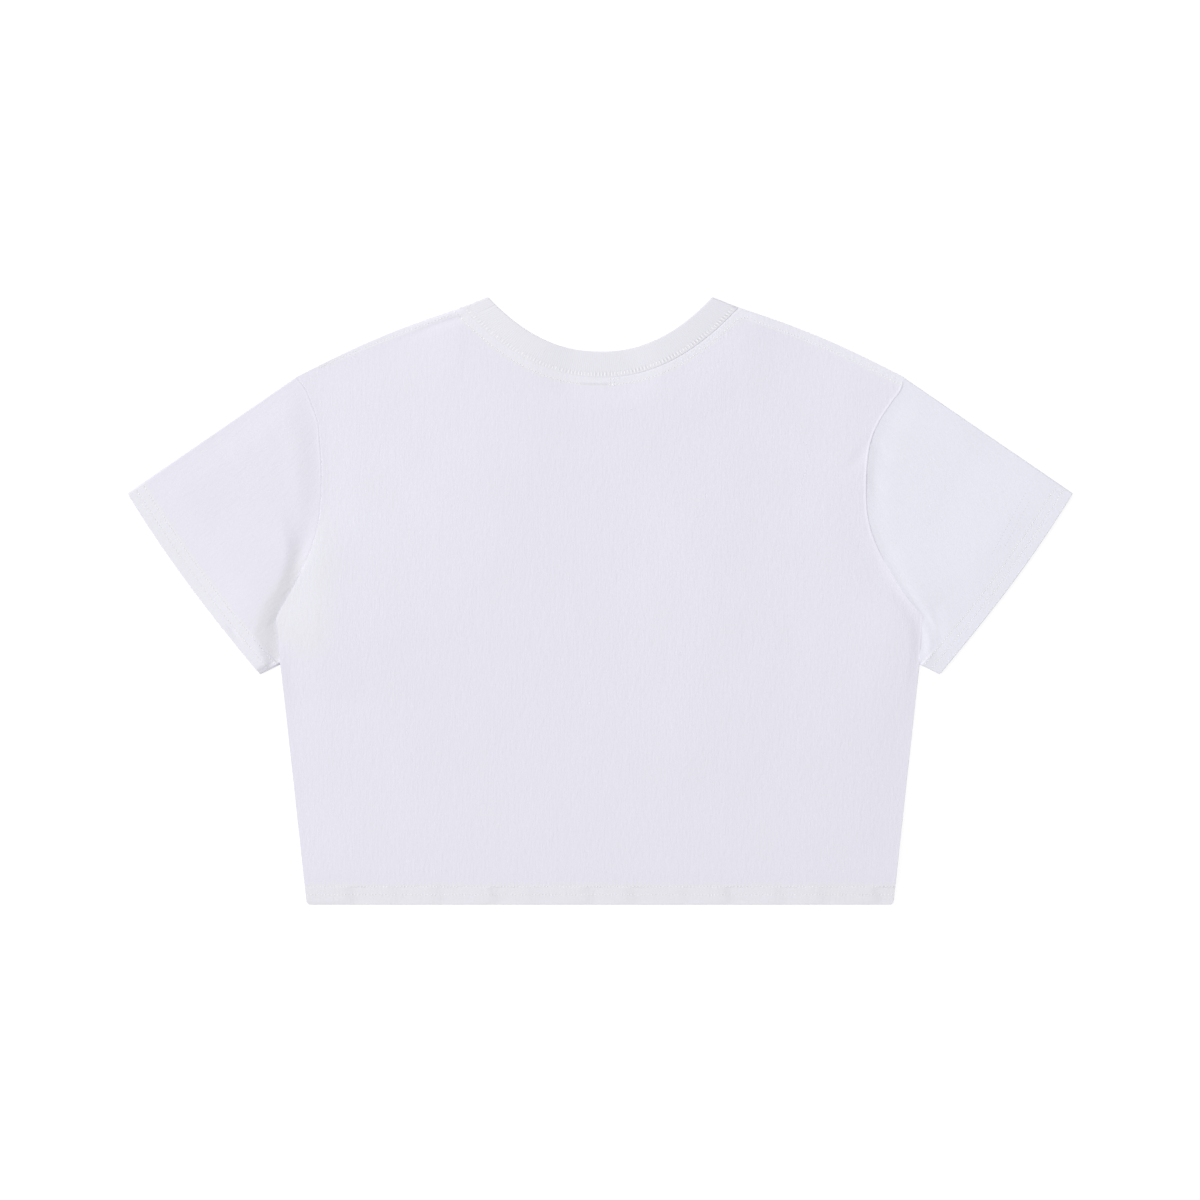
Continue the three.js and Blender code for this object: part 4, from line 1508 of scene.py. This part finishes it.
@dataclass(frozen=True)
class NeckRib:
    """A strip of rib joined to a ring and folded double: along the back neck, and back along the front."""

    cut: Cut
    name: str = "neck_rib_band"
    node: str = "neck_rib"
    slit: float = 0.1  # half the hairline between its two layers
    ridge: float = 1.55  # from one rib to the next
    ridge_height: float = 0.07
    tip: float = 0.9  # rounding of the band's corner at the neck points

    def arc(self, edge: NeckLine, seam: NeckLine, sign: int) -> tuple[Array, Array]:
        """Plan points of the band's folded edge and of its seam along one half of the neck.

        Args:
            edge: The folded edge's line.
            seam: The seam's line.
            sign: Way along X: 1 runs to the right.

        Returns:
            Two arrays of (point, xy), from one neck point to the other.
        """
        share = np.linspace(-1, 1, 1201) * sign
        radius = self.cut.rib_half + self.cut.gap / 2
        out = fold_way(edge, seam)
        sides = []
        for line in (edge, seam):
            short = 1 - (radius + self.cut.rib_half) / (out[0] + out[1] * line.slope(line.reach)) / line.reach
            x = share * short * line.reach
            sides.append(np.stack([x, line.height(x)], axis=-1))
        return sides[0], sides[1]

    def path(self) -> dict[str, Array]:
        """The ring's stations, evenly spaced, with their plan places, height and turn.

        Returns:
            Arrays: inside and outside (xy of folded edge and seam), z of the band's middle, turn of its
            outer face from up, out (how far the fold carries it past the neck points), side and walk.
        """
        cut = self.cut
        radius = self.cut.rib_half + cut.gap / 2
        back = self.arc(cut.back_edge, cut.back_seam, 1)
        front = self.arc(cut.front_edge, cut.front_seam, -1)
        turns = np.linspace(0, np.pi, 9)[1:-1]
        swing = (1 - np.cos(turns))[:, None] / 2
        ends = [(back[k][-1], front[k][0]) for k in (0, 1)]
        starts = [(front[k][-1], back[k][0]) for k in (0, 1)]
        first = [mix(a, b, swing) for a, b in ends]
        second = [mix(a, b, swing) for a, b in starts]
        inside = np.concatenate([back[0], first[0], front[0], second[0]])
        outside = np.concatenate([back[1], first[1], front[1], second[1]])
        fold_z = self.cut.rib_half + radius
        z = np.concatenate([
            cut.rib_level(np.linspace(-1, 1, len(back[0]))),
            fold_z + radius * np.cos(turns),
            np.full(len(front[0]), self.cut.rib_half),
            fold_z - radius * np.cos(turns),
        ])
        flat = np.zeros(len(front[0]))
        turn = np.concatenate([flat, turns, flat + np.pi, turns + np.pi])
        side = np.concatenate([flat, np.ones(len(turns)), flat, -np.ones(len(turns))])
        middle = (inside + outside) / 2
        out = radius * np.abs(np.sin(turn)) * np.abs(side)
        walk = walked(middle[:, 0] + 0.4 * side * out, middle[:, 1] + out)
        total = walk[-1] + np.hypot(*(middle[0] - middle[-1]))
        count = int(round(total / self.cut.tooth_pitch)) * 6
        even = np.arange(count) * total / count
        given = {"inside": inside, "outside": outside, "z": z, "turn": turn, "side": side, "out": out}
        found: dict[str, Array] = {"walk": even, "total": np.array(total)}
        for key, value in given.items():
            closed = np.concatenate([value, value[:1] + (2 * np.pi if key == "turn" else 0)])
            found[key] = resampled(closed, np.append(walk, total), even)
        return found

    def place(self, path: dict[str, Array], across: Array, up: Array) -> Array:
        """Points of the band in space.

        Args:
            path: The ring's stations.
            across: Distance from the folded edge, (stations, points).
            up: Distance out of the band's middle, (stations, points).

        Returns:
            Points, (stations, points, xyz).
        """
        out = fold_way(self.cut.back_edge, self.cut.back_seam)
        run = path["outside"] - path["inside"]
        width = np.linalg.norm(run, axis=1)[:, None]
        plan = path["inside"][:, None] + run[:, None] * (across / width)[..., None]
        turn, side = path["turn"][:, None], path["side"][:, None]
        push = (path["out"][:, None] + up * np.abs(np.sin(turn))) * np.abs(side)
        x = plan[..., 0] + np.sign(side) * push * out[0]
        y = plan[..., 1] + push * out[1]
        return np.stack([x, y, path["z"][:, None] + up * np.cos(turn)], axis=-1)

    def section(self, width: Array) -> tuple[Array, Array, Array]:
        """The band's section at each station, a closed U of cloth.

        The outer face runs from the seam to the folded edge, round it and back, and the inner face returns
        along the hairline between the two layers.

        Args:
            width: Band width at each station.

        Returns:
            Across and up, (stations, points), and a row that is 1 on the outer face and 0 inside.
        """
        half, slit = self.cut.rib_half, self.slit
        nominal = 19.0  # a width for which the steps are given; each station's own width stretches them
        lane = stations((0, 0.5, 0.12), (0.5, 1.4, 0.3), (1.4, 6, 0.9), (6, nominal, 2.2))  # in from the seam
        coarse = np.linspace(0, nominal, 5)
        turns = np.linspace(np.pi / 2, -np.pi / 2, 9)[None, 1:-1]
        seam = width[:, None] + self.cut.lap
        far = seam - lane[None, :] * (seam - half) / nominal
        far_in = seam - coarse[None, :] * (seam - half) / nominal
        thick = (half - slit) / 2
        outer = half - thick + thick * rounded(lane, 0.2)[None, :] + 0 * seam
        inner = half - thick - thick * rounded(coarse, 0.5)[None, :] + 0 * seam
        bend, bend_up = half * (1 - np.cos(turns)) + 0 * seam, half * np.sin(turns) + 0 * seam
        tight, tight_up = half - slit * np.cos(turns) + 0 * seam, slit * np.sin(turns) + 0 * seam
        back = (slice(None), slice(None, None, -1))
        across = np.concatenate([far, bend, far[back], far_in, tight[back], far_in[back]], axis=1)
        up = np.concatenate([outer, bend_up, -outer[back], -inner, tight_up[back], inner[back]], axis=1)
        shown = 2 * far.shape[1] + bend.shape[1]
        skin = (np.arange(across.shape[1]) < shown).astype(float)
        return across, up, skin[None, :]

    def build(self, finishes: Finishes) -> Piece:
        """Builds and dresses the rib.

        Args:
            finishes: The materials to wear.

        Returns:
            The piece.
        """
        path = self.path()
        width = np.linalg.norm(path["outside"] - path["inside"], axis=1)
        across, up, skin = self.section(width)
        walk = path["walk"][:, None]
        ribs = self.ridge_height * np.cos(2 * np.pi * walk / self.ridge) * skin
        in_seam = width[:, None] - across
        up = up + np.sign(up) * ribs * smooth(0.4, 2.4, in_seam)
        puffs = 0.02 * np.cos(2 * np.pi * walk / self.cut.tooth_pitch) * bell(in_seam - 1.8, 2.2)
        up = up + np.sign(up) * (puffs - 0.05 * bell(in_seam - 5.2, 0.8)) * skin * smooth(0.1, 0.6, in_seam)
        tips = self.tip_walks(path)
        nearest = np.min([np.abs(walk - t) for t in tips], axis=0)
        short = np.clip(self.tip - nearest, 0, self.tip)
        retreat = self.tip - np.sqrt(self.tip**2 - short**2)
        across = across + retreat * np.clip(1 - across / 8, 0, 1)
        joint = bell(walk - self.joint_walk(path), 0.5) * (up > 0.5) * smooth(width[:, None] - 6, 9, across)
        up = up - 0.3 * joint
        points = self.place(path, across, up)
        rings, count = points.shape[:2]
        flat = points.reshape(-1, 3)
        first = np.arange(count)
        join = strip_faces(first + (rings - 1) * count, first, closed=True)
        quads = np.concatenate([grid_faces(rings, count, closed=True), join])
        piece = new_piece(self.name, flat, outward(flat, quads))
        set_knit_map(piece, np.broadcast_to(walk, across.shape).ravel(), across.ravel())
        holes = 0.5 - 0.5 * np.cos(2 * np.pi * walk / self.cut.tooth_pitch)
        right = smooth(-70, 50, points[..., 0])
        # painted shade: darker towards the right, in the gaps between the loops, and along the seam on the
        # right half
        needle = 0.1 * smooth(40, 100, points[..., 0])
        needle = needle + mix(0.35, 0.9, right) * holes**2 * bell(in_seam - 2.6, 1.6)
        needle = needle + 0.7 * smooth(0, 60, points[..., 0]) * bell(in_seam, 0.35) * (points[..., 2] > 1)
        # the rib's doubled cloth, and painted light: paler towards the left half
        doubled = 0.5 + 1.4 * smooth(-25, -85, flat[:, 0])
        dress(piece, finishes.rib, {LAYERS_AND_PAINTED_LIGHT: doubled, PAINTED_SHADE: np.clip(needle, 0, 1)})
        return piece

    def tip_walks(self, path: dict[str, Array]) -> list[float]:
        """Places along the ring of the two neck points, in the middle of each fold."""
        right = float(np.interp(np.pi / 2, path["turn"], path["walk"]))
        left = float(np.interp(3 * np.pi / 2, path["turn"], path["walk"]))
        return [right, left, left - float(path["total"])]

    def joint_walk(self, path: dict[str, Array]) -> float:
        """Place along the ring of the seam that joins the strip's ends, just past the left neck point."""
        return self.tip_walks(path)[2] + 8.6

    def flat(self) -> tuple[float, float]:
        """Length round and width of the strip before it was folded, in metres."""
        path = self.path()
        width = float(np.linalg.norm(path["outside"] - path["inside"], axis=1).mean())
        return float(path["total"]) * MM, 2 * width * MM


@dataclass(frozen=True)
class NeckTape:
    """A narrow strip of jersey that covers the back neck seam inside."""

    cut: Cut
    back: BackPanel
    name: str = "neck_tape_strip"
    node: str = "neck_tape"
    upper: float = 0.4  # from the neck seam to the tape's upper edge
    lower: float = 10.6  # and to its lower edge
    half: float = 0.35  # half its thickness
    clearance: float = 0.1  # from the back panel's underside

    def build(self, finishes: Finishes) -> Piece:
        """Builds the tape just under the back panel's own underside, with rounded edges.

        Args:
            finishes: The materials to wear.

        Returns:
            The piece.
        """
        line = self.cut.back_seam
        x = np.linspace(-line.reach, line.reach, 240)
        y = line.height(x)
        wide = self.lower - self.upper
        down = stations((0, 0.5, 0.12), (0.5, wide - 0.5, 1.1), (wide - 0.5, wide, 0.12)) + self.upper
        steep = np.hypot(1, line.slope(x))
        nx, ny = np.sign(x) * line.slope(x) / steep, -1 / steep
        gx, gy = x[:, None] + down * nx[:, None], y[:, None] + down * ny[:, None]
        inset = np.minimum(down - self.upper, self.lower - down)[None, :] + 0 * gx
        inset = np.minimum(inset, np.minimum(gx - gx[0], gx[-1] - gx))
        thick = self.half * rounded(inset, 0.5)
        middle = self.back.lie(gx, gy) - self.cut.cloth - self.clearance - self.half
        piece = closed_sheet(self.name, gx, gy, middle + thick, middle - thick)
        along = np.broadcast_to(walked(x, y)[:, None], gx.shape)
        set_knit_map(piece, np.tile(along.ravel(), 2), np.tile((down + 0 * gx).ravel(), 2))
        dress(piece, finishes.tape, {LAYERS_AND_PAINTED_LIGHT: np.array(0.6)})
        return piece

    def flat(self) -> tuple[float, float]:
        """Length and width of the strip in metres."""
        line = self.cut.back_seam
        x = np.linspace(-line.reach, line.reach, 240)
        return float(walked(x, line.height(x))[-1] * MM), (self.lower - self.upper) * MM


# -------------------- Stitching --------------------


# ends of two rows of needle pricks on the right sleeve
UNPICKED_ROWS = (((333.6, 85.3), (306.5, 35.9)), ((336.3, 78.2), (316.7, 42.1)))
# the pricks' threads are painted dark all over, as shade down in the holes
PRICK = Thread(radius=0.36, flatten=0.5, end_shade=0.3, shade=0.4)
PRICK_LENGTH = 0.7  # what shows of a thread end in its prick
TOOTH_LENGTH = 4.4  # how far a loop reaches onto the rib
TOOTH_THREAD = Thread(radius=0.56, flatten=0.3, end_shade=0.15, shade=0.05)


@dataclass(frozen=True)
class Stitching:
    """Rows of lock and cover stitch, laid on the cloth's own surface."""

    cut: Cut
    back: BackPanel
    sleeves: tuple[Sleeve, Sleeve]
    rib: NeckRib
    thread: Thread = Thread()
    slack_thread: Thread = Thread(end_shade=0.4, shade=0.1)  # less painted shade at its ends, and a slightly duller tone: on the left cuff and the tape's end
    pitch: float = 2.6  # from one stitch to the next
    length: float = 1.6  # what shows of one stitch
    points: int = 5
    sunk: float = 0.31  # height over the table at which the front's rows lie in their groove
    margin: float = 1.7  # bare cloth at both ends of a cuff's rows

    def marks(self, total: float, length: float) -> Array:
        """Places along a row of the points of each stitch, (stitch, point)."""
        count = int(total / self.pitch)
        first = (np.arange(count) + 0.5) * total / count
        return first[:, None] + np.linspace(-0.5, 0.5, self.points)[None, :] * length

    def arch(self) -> Array:
        """Height of a stitch's centre line over the cloth: sunk at both ends, proud in the middle."""
        return -0.08 + 0.16 * np.sin(np.linspace(0, np.pi, self.points))[None, :]

    def along(self, x: Array, y: Array, bare: tuple[float, float] = (0.0, 0.0)) -> tuple[Array, Array]:
        """Plan points of the stitches along a line of plan points, but for a bare stretch in x.

        Args:
            x: The line, across the garment.
            y: The line, up it.
            bare: Both ends of the bare stretch.

        Returns:
            X and Y, (stitch, point).
        """
        walk = walked(x, y)
        at = self.marks(walk[-1], self.length)
        middle = np.interp(at.mean(axis=1), walk, x)
        at = at[(middle <= bare[0]) | (middle >= bare[1])]
        return np.interp(at, walk, x), np.interp(at, walk, y)

    def on_back(
        self, name: str, x: Array, y: Array, bare: tuple[float, float] = (0.0, 0.0), slack: bool = False
    ) -> Piece:
        """A row of stitches on the back panel along a line of plan points, but for a bare stretch in x."""
        x, y = self.along(x, y, bare)
        thread = self.slack_thread if slack else self.thread
        return thread.lay(name, np.stack([x, y, self.back.over(x, y) + self.arch()], -1), 1)

    def on_front(self, name: str, x: Array, y: Array) -> Piece:
        """A row of stitches on the front panel's face that lies on the table."""
        x, y = self.along(x, y)
        return self.thread.lay(name, np.stack([x, y, self.sunk - self.arch() + 0 * x], -1), -1)

    def build(self, finishes: Finishes) -> dict[str, list[Piece]]:
        """Lays all rows.

        Args:
            finishes: The materials to wear.

        Returns:
            The rows on each piece of cloth, by that piece's name.
        """
        rows: dict[str, list[Piece]]
        rows = {key: [] for key in ("back", "front", "rib", "left", "right")}
        for label, depth in self.cut.twin_rows:
            height = self.cut.hem_y + depth
            reach = float(self.cut.reach(Side.LEFT, np.array(height))) - 0.8
            x = np.linspace(-reach, reach, 600)
            y = np.full_like(x, height)
            rows["back"].append(self.on_back(f"hem_stitches_back_{label}", x, y))
            rows["front"].append(self.on_front(f"hem_stitches_front_{label}", x, y))
        rows["back"] += self.neck_rows()
        line = self.offset_line(self.cut.front_seam, self.cut.neck_row, self.cut.front_seam.reach - 1.5)
        rows["front"].append(self.on_front("front_neck_stitches", *line))
        rows["rib"] += self.teeth()
        for key, sleeve in zip(("left", "right"), self.sleeves):
            rows[key] += self.cuff_rows(sleeve)
        rows["right"] += self.unpicked_marks()
        for group in rows.values():
            for piece in group:
                piece.data.materials.append(finishes.thread)
        return rows

    def offset_line(self, line: NeckLine, below: float, reach: float) -> tuple[Array, Array]:
        """Plan line at a distance below a neck line, between two reaches."""
        x = np.linspace(-reach, reach, 801)
        steep = np.hypot(1, line.slope(x))
        return x + below * np.sign(x) * line.slope(x) / steep, line.height(x) - below / steep

    def neck_rows(self) -> list[Piece]:
        """The lower cover-stitch row of the back neck, the shoulder rows and the tape's end.

        The neck's row runs on into the right shoulder's, round a corner that is a soft quadratic curve.

        Returns:
            The rows.
        """
        cut = self.cut
        x, y = self.offset_line(cut.back_seam, self.cut.neck_row, cut.back_seam.reach - 1.0)
        x, y = np.concatenate([[-114.6], x]), np.concatenate([[227.2], y])
        right_x, right_y = self.shoulder_line(1, (122.5, 236.2))
        bend = np.linspace(0, 1, 12)[1:-1]
        keep = x < 107.5
        start, corner, end = (x[keep][-1], y[keep][-1]), (115.5, 223.4), (right_x[0], right_y[0])
        turn_x, turn_y = (
            (1 - bend) ** 2 * a + 2 * bend * (1 - bend) * b + bend**2 * c
            for a, b, c in zip(start, corner, end)
        )
        row_x = np.concatenate([x[keep], turn_x, right_x])
        row_y = np.concatenate([y[keep], turn_y, right_y])
        left_x, left_y = self.shoulder_line(-1, (116.0, 222.0))
        made = [self.on_back("neck_and_shoulder_stitches", row_x, row_y, (-13.8, 6.0))]
        made.append(self.on_back("shoulder_stitches_left", left_x, left_y))
        for name, at in (("tape_end_stitches_outer", 10.9), ("tape_end_stitches_inner", 7.8)):
            down = np.linspace(0.2, 8.2, 20)
            made.append(self.on_back(name, at + 0 * down, cut.back_seam.height(at) - down, slack=True))
        return made

    def shoulder_line(self, sign: int, ends: tuple[float, float]) -> tuple[Array, Array]:
        """Plan line of a shoulder's stitch row between two distances from the centre line."""
        x = sign * np.linspace(*ends, 400)
        top = self.cut.top(self.cut.back_seam, x)
        return x, top - self.back.row_depth(x) * np.hypot(1, np.gradient(top, x))

    def teeth(self) -> list[Piece]:
        """Cover-stitch loops across the rib's seam, square to it, all round the neck.

        Returns:
            The loops on the upper face of the back neck, and on the lower face of the front's.
        """
        path = self.rib.path()
        walk = walked(*path["outside"].T)
        sine = np.sin(np.linspace(0, np.pi, self.points))[None, :]
        made = []
        for name, facing, way in (("neck_teeth_back", 0.0, 1), ("neck_teeth_front", np.pi, -1)):
            chosen = np.flatnonzero(np.abs(path["turn"] - facing) < 0.1)[1:-1]
            total = walk[chosen[-1]] - walk[chosen[0]]
            count = int(total / self.cut.tooth_pitch)
            at = walk[chosen[0]] + (np.arange(count) + 0.5) * total / count
            rib_walk = np.interp(at, walk[chosen], path["walk"][chosen])
            keys = ("z", "turn", "side", "out", "inside", "outside")
            local = {key: resampled(path[key], path["walk"], rib_walk) for key in keys}
            width = np.linalg.norm(local["outside"] - local["inside"], axis=1)[:, None]
            reach = np.linspace(0.1, TOOTH_LENGTH, self.points)[None, :]
            right = smooth(-60, 40, (local["inside"] + local["outside"])[:, :1] / 2)
            lift = mix(0.05, 0.15, right) * sine - 0.16 if way > 0 else -0.1
            points = self.rib.place(local, width - reach, self.cut.rib_half + lift + 0 * reach * width)
            made.append(TOOTH_THREAD.lay(name, points, way))
        return made

    def cuff_rows(self, sleeve: Sleeve) -> list[Piece]:
        """Both twin-needle rows on both layers of one cuff.

        Args:
            sleeve: The sleeve.

        Returns:
            The rows.
        """
        share = sleeve.columns()[None, :]
        thread = self.slack_thread if sleeve.side is Side.LEFT else self.thread
        made = []
        for layer, way in (("back", 1), ("front", -1)):
            face = sleeve.surface(share, way > 0, True)
            for label, depth in self.cut.twin_rows:
                line = [self.at_depth(face, key, depth) for key in "xyz"]
                walk = walked(line[0], line[1])
                at = self.marks(walk[-1] - 2 * self.margin, self.length) + self.margin
                x, y, z = (np.interp(at, walk, values) for values in line)
                name = f"cuff_stitches_{sleeve.side.name.lower()}_{layer}_{label}"
                made.append(thread.lay(name, np.stack([x, y, z + way * self.arch()], -1), way))
        return made

    def unpicked_marks(self) -> list[Piece]:
        """Pricks that two unpicked rows left in the right sleeve, one short thread end in each.

        Their height is that of the face's three nearest points, the nearer the more.

        Returns:
            The two rows.
        """
        sleeve = self.sleeves[1]
        face = sleeve.surface(sleeve.columns()[None, :], True, True)
        x, y, height = (face[key].ravel() for key in "xyz")
        made = []
        for k, (start, end) in enumerate(UNPICKED_ROWS):
            total = float(np.hypot(*np.subtract(end, start)))
            at = self.marks(total, PRICK_LENGTH)[:, :, None] / total
            places = mix(np.array(start), np.array(end), at)
            away = (places[..., 0, None] - x) ** 2 + (places[..., 1, None] - y) ** 2
            near = np.argsort(away, axis=-1)[..., :3]
            weight = 1 / (np.take_along_axis(away, near, axis=-1) + 0.01)
            z = (height[near] * weight).sum(axis=-1) / weight.sum(axis=-1)
            lines = np.concatenate([places, (z - 0.1)[..., None]], axis=-1)
            made.append(PRICK.lay(f"unpicked_marks_{k + 1}", lines, 1))
        return made

    def at_depth(self, face: dict[str, Array], key: str, depth: float) -> Array:
        """A value of a sleeve's face along the line at a depth in from the cuff's edge.

        Args:
            face: The face, as a sleeve's surface gives it.
            key: The value's name.
            depth: Millimetres in from the cuff's edge.

        Returns:
            One value for each column.
        """
        cuff, value = face["cuff"][::-1], face[key][::-1]
        row = np.clip((cuff < depth).sum(axis=0), 1, len(cuff) - 1)
        column = np.arange(cuff.shape[1])
        low, high = cuff[row - 1, column], cuff[row, column]
        share = np.clip((depth - low) / np.maximum(high - low, 1e-9), 0, 1)
        return mix(value[row - 1, column], value[row, column], share)


# -------------------- Studio --------------------


@dataclass(frozen=True)
class Lamp:
    """A large square soft box, aimed at the garment."""

    name: str
    place: tuple[float, float, float]  # metres
    size: float
    power: float

    def build(self) -> None:
        """Adds the lamp to the scene."""
        lamp = bpy.data.lights.new(self.name, "AREA")
        lamp.energy, lamp.size = self.power, self.size
        light = bpy.data.objects.new(self.name, lamp)
        light.location = self.place
        light.rotation_mode = "QUATERNION"
        light.rotation_quaternion = light.location.to_track_quat("Z", "Y")
        bpy.context.scene.collection.objects.link(light)


@dataclass(frozen=True)
class Studio:
    """A light table, even white light all round, two soft boxes and the camera straight above."""

    view: float = 940.8  # width of the view at the table, mm
    lens: float = 100.0
    sensor: float = 36.0
    centre_y: float = 0.6
    around: float = 0.514  # strength of the light all round
    table_reach: float = 6000.0
    table_drop: float = 0.35  # of the table's top under the frame's floor, so that no face lies in another
    table_corners: int = 64
    lamps: tuple[Lamp, ...] = (
        Lamp("soft_box_side", (-7.6, -0.71, 6.65), 4.0, 402.0),
        Lamp("soft_box_top", (-0.6, 3.0, 4.6), 2.8, 91.0),
    )

    def build(self) -> None:
        """Makes the table, the lights and the camera."""
        scene = bpy.context.scene
        turn = np.linspace(0, 2 * np.pi, self.table_corners, endpoint=False)
        x, y = self.table_reach * np.cos(turn), self.table_reach * np.sin(turn)
        circle = np.stack([x, y, np.full_like(x, -self.table_drop)], -1)
        table = new_piece("table_top", circle, np.zeros((0, 4), int), np.arange(len(x))[None, :])
        table.data.materials.append(LightTable().material())
        world = bpy.data.worlds.new("white_tent")
        world.use_nodes = True
        light = world.node_tree.nodes["Background"].inputs
        light["Color"].default_value = linear("#ffffff")
        light["Strength"].default_value = self.around
        scene.world = world
        for lamp in self.lamps:
            lamp.build()
        sight = bpy.data.cameras.new("camera")
        sight.lens, sight.sensor_width = self.lens, self.sensor
        sight.clip_start, sight.clip_end = 0.1, 60.0
        camera = bpy.data.objects.new("camera", sight)
        camera.location = (0.0, self.centre_y * MM, self.view * MM * self.lens / self.sensor)
        scene.collection.objects.link(camera)
        scene.camera = camera
        scene.view_settings.view_transform = "Standard"


# -------------------- The garment --------------------


def put_on(piece: Piece, node: str | None = None) -> None:
    """Makes a piece ride on the garment's body and stand for a frame node.

    Args:
        piece: The piece.
        node: The frame's node, if it stands for one.
    """
    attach(piece, "root")
    if node is not None:
        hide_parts(node)
    log.info("%s: %d faces", piece.name, len(piece.data.polygons))


def main() -> None:
    """Builds the garment in its frame, then the studio round it."""
    logging.basicConfig(level=logging.INFO, format="%(message)s")
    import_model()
    cut = Cut()
    finishes = Finishes.made()
    back = BackPanel(cut, "back_cloth", "back_panel", cut.back_seam)
    left = Sleeve(
        cut, Side.LEFT, "sleeve_left_cloth", "sleeve_left", LEFT_SLEEVE_CREASES,
        seam_fade=8.0, backed=1.5, tuck=3.0, loft=1.3, cast=0.0, back=back,
    )
    right = Sleeve(
        cut, Side.RIGHT, "sleeve_right_cloth", "sleeve_right", RIGHT_SLEEVE_CREASES,
        seam_fade=5.5, backed=0.9, tuck=0.0, loft=0.6, cast=0.9, back=back,
    )
    rib = NeckRib(cut)
    tape = NeckTape(cut, back)
    garment = {
        "back": back,
        "front": FrontPanel(cut, "front_cloth", "front_panel", cut.front_seam),
        "left": left,
        "right": right,
        "rib": rib,
        "tape": tape,
    }
    pieces = {key: part.build(finishes) for key, part in garment.items()}
    rows = Stitching(cut, back, (left, right), rib).build(finishes)
    for key, part in garment.items():
        put_on(pieces[key], part.node)
        for row in rows.get(key, []):
            put_on(row)
    for key in ("back", "front", "left", "right"):
        part = garment[key]
        part.flat()
        part.area()
    rib.flat()
    tape.flat()
    Studio().build()


if __name__ == "__main__":
    main()
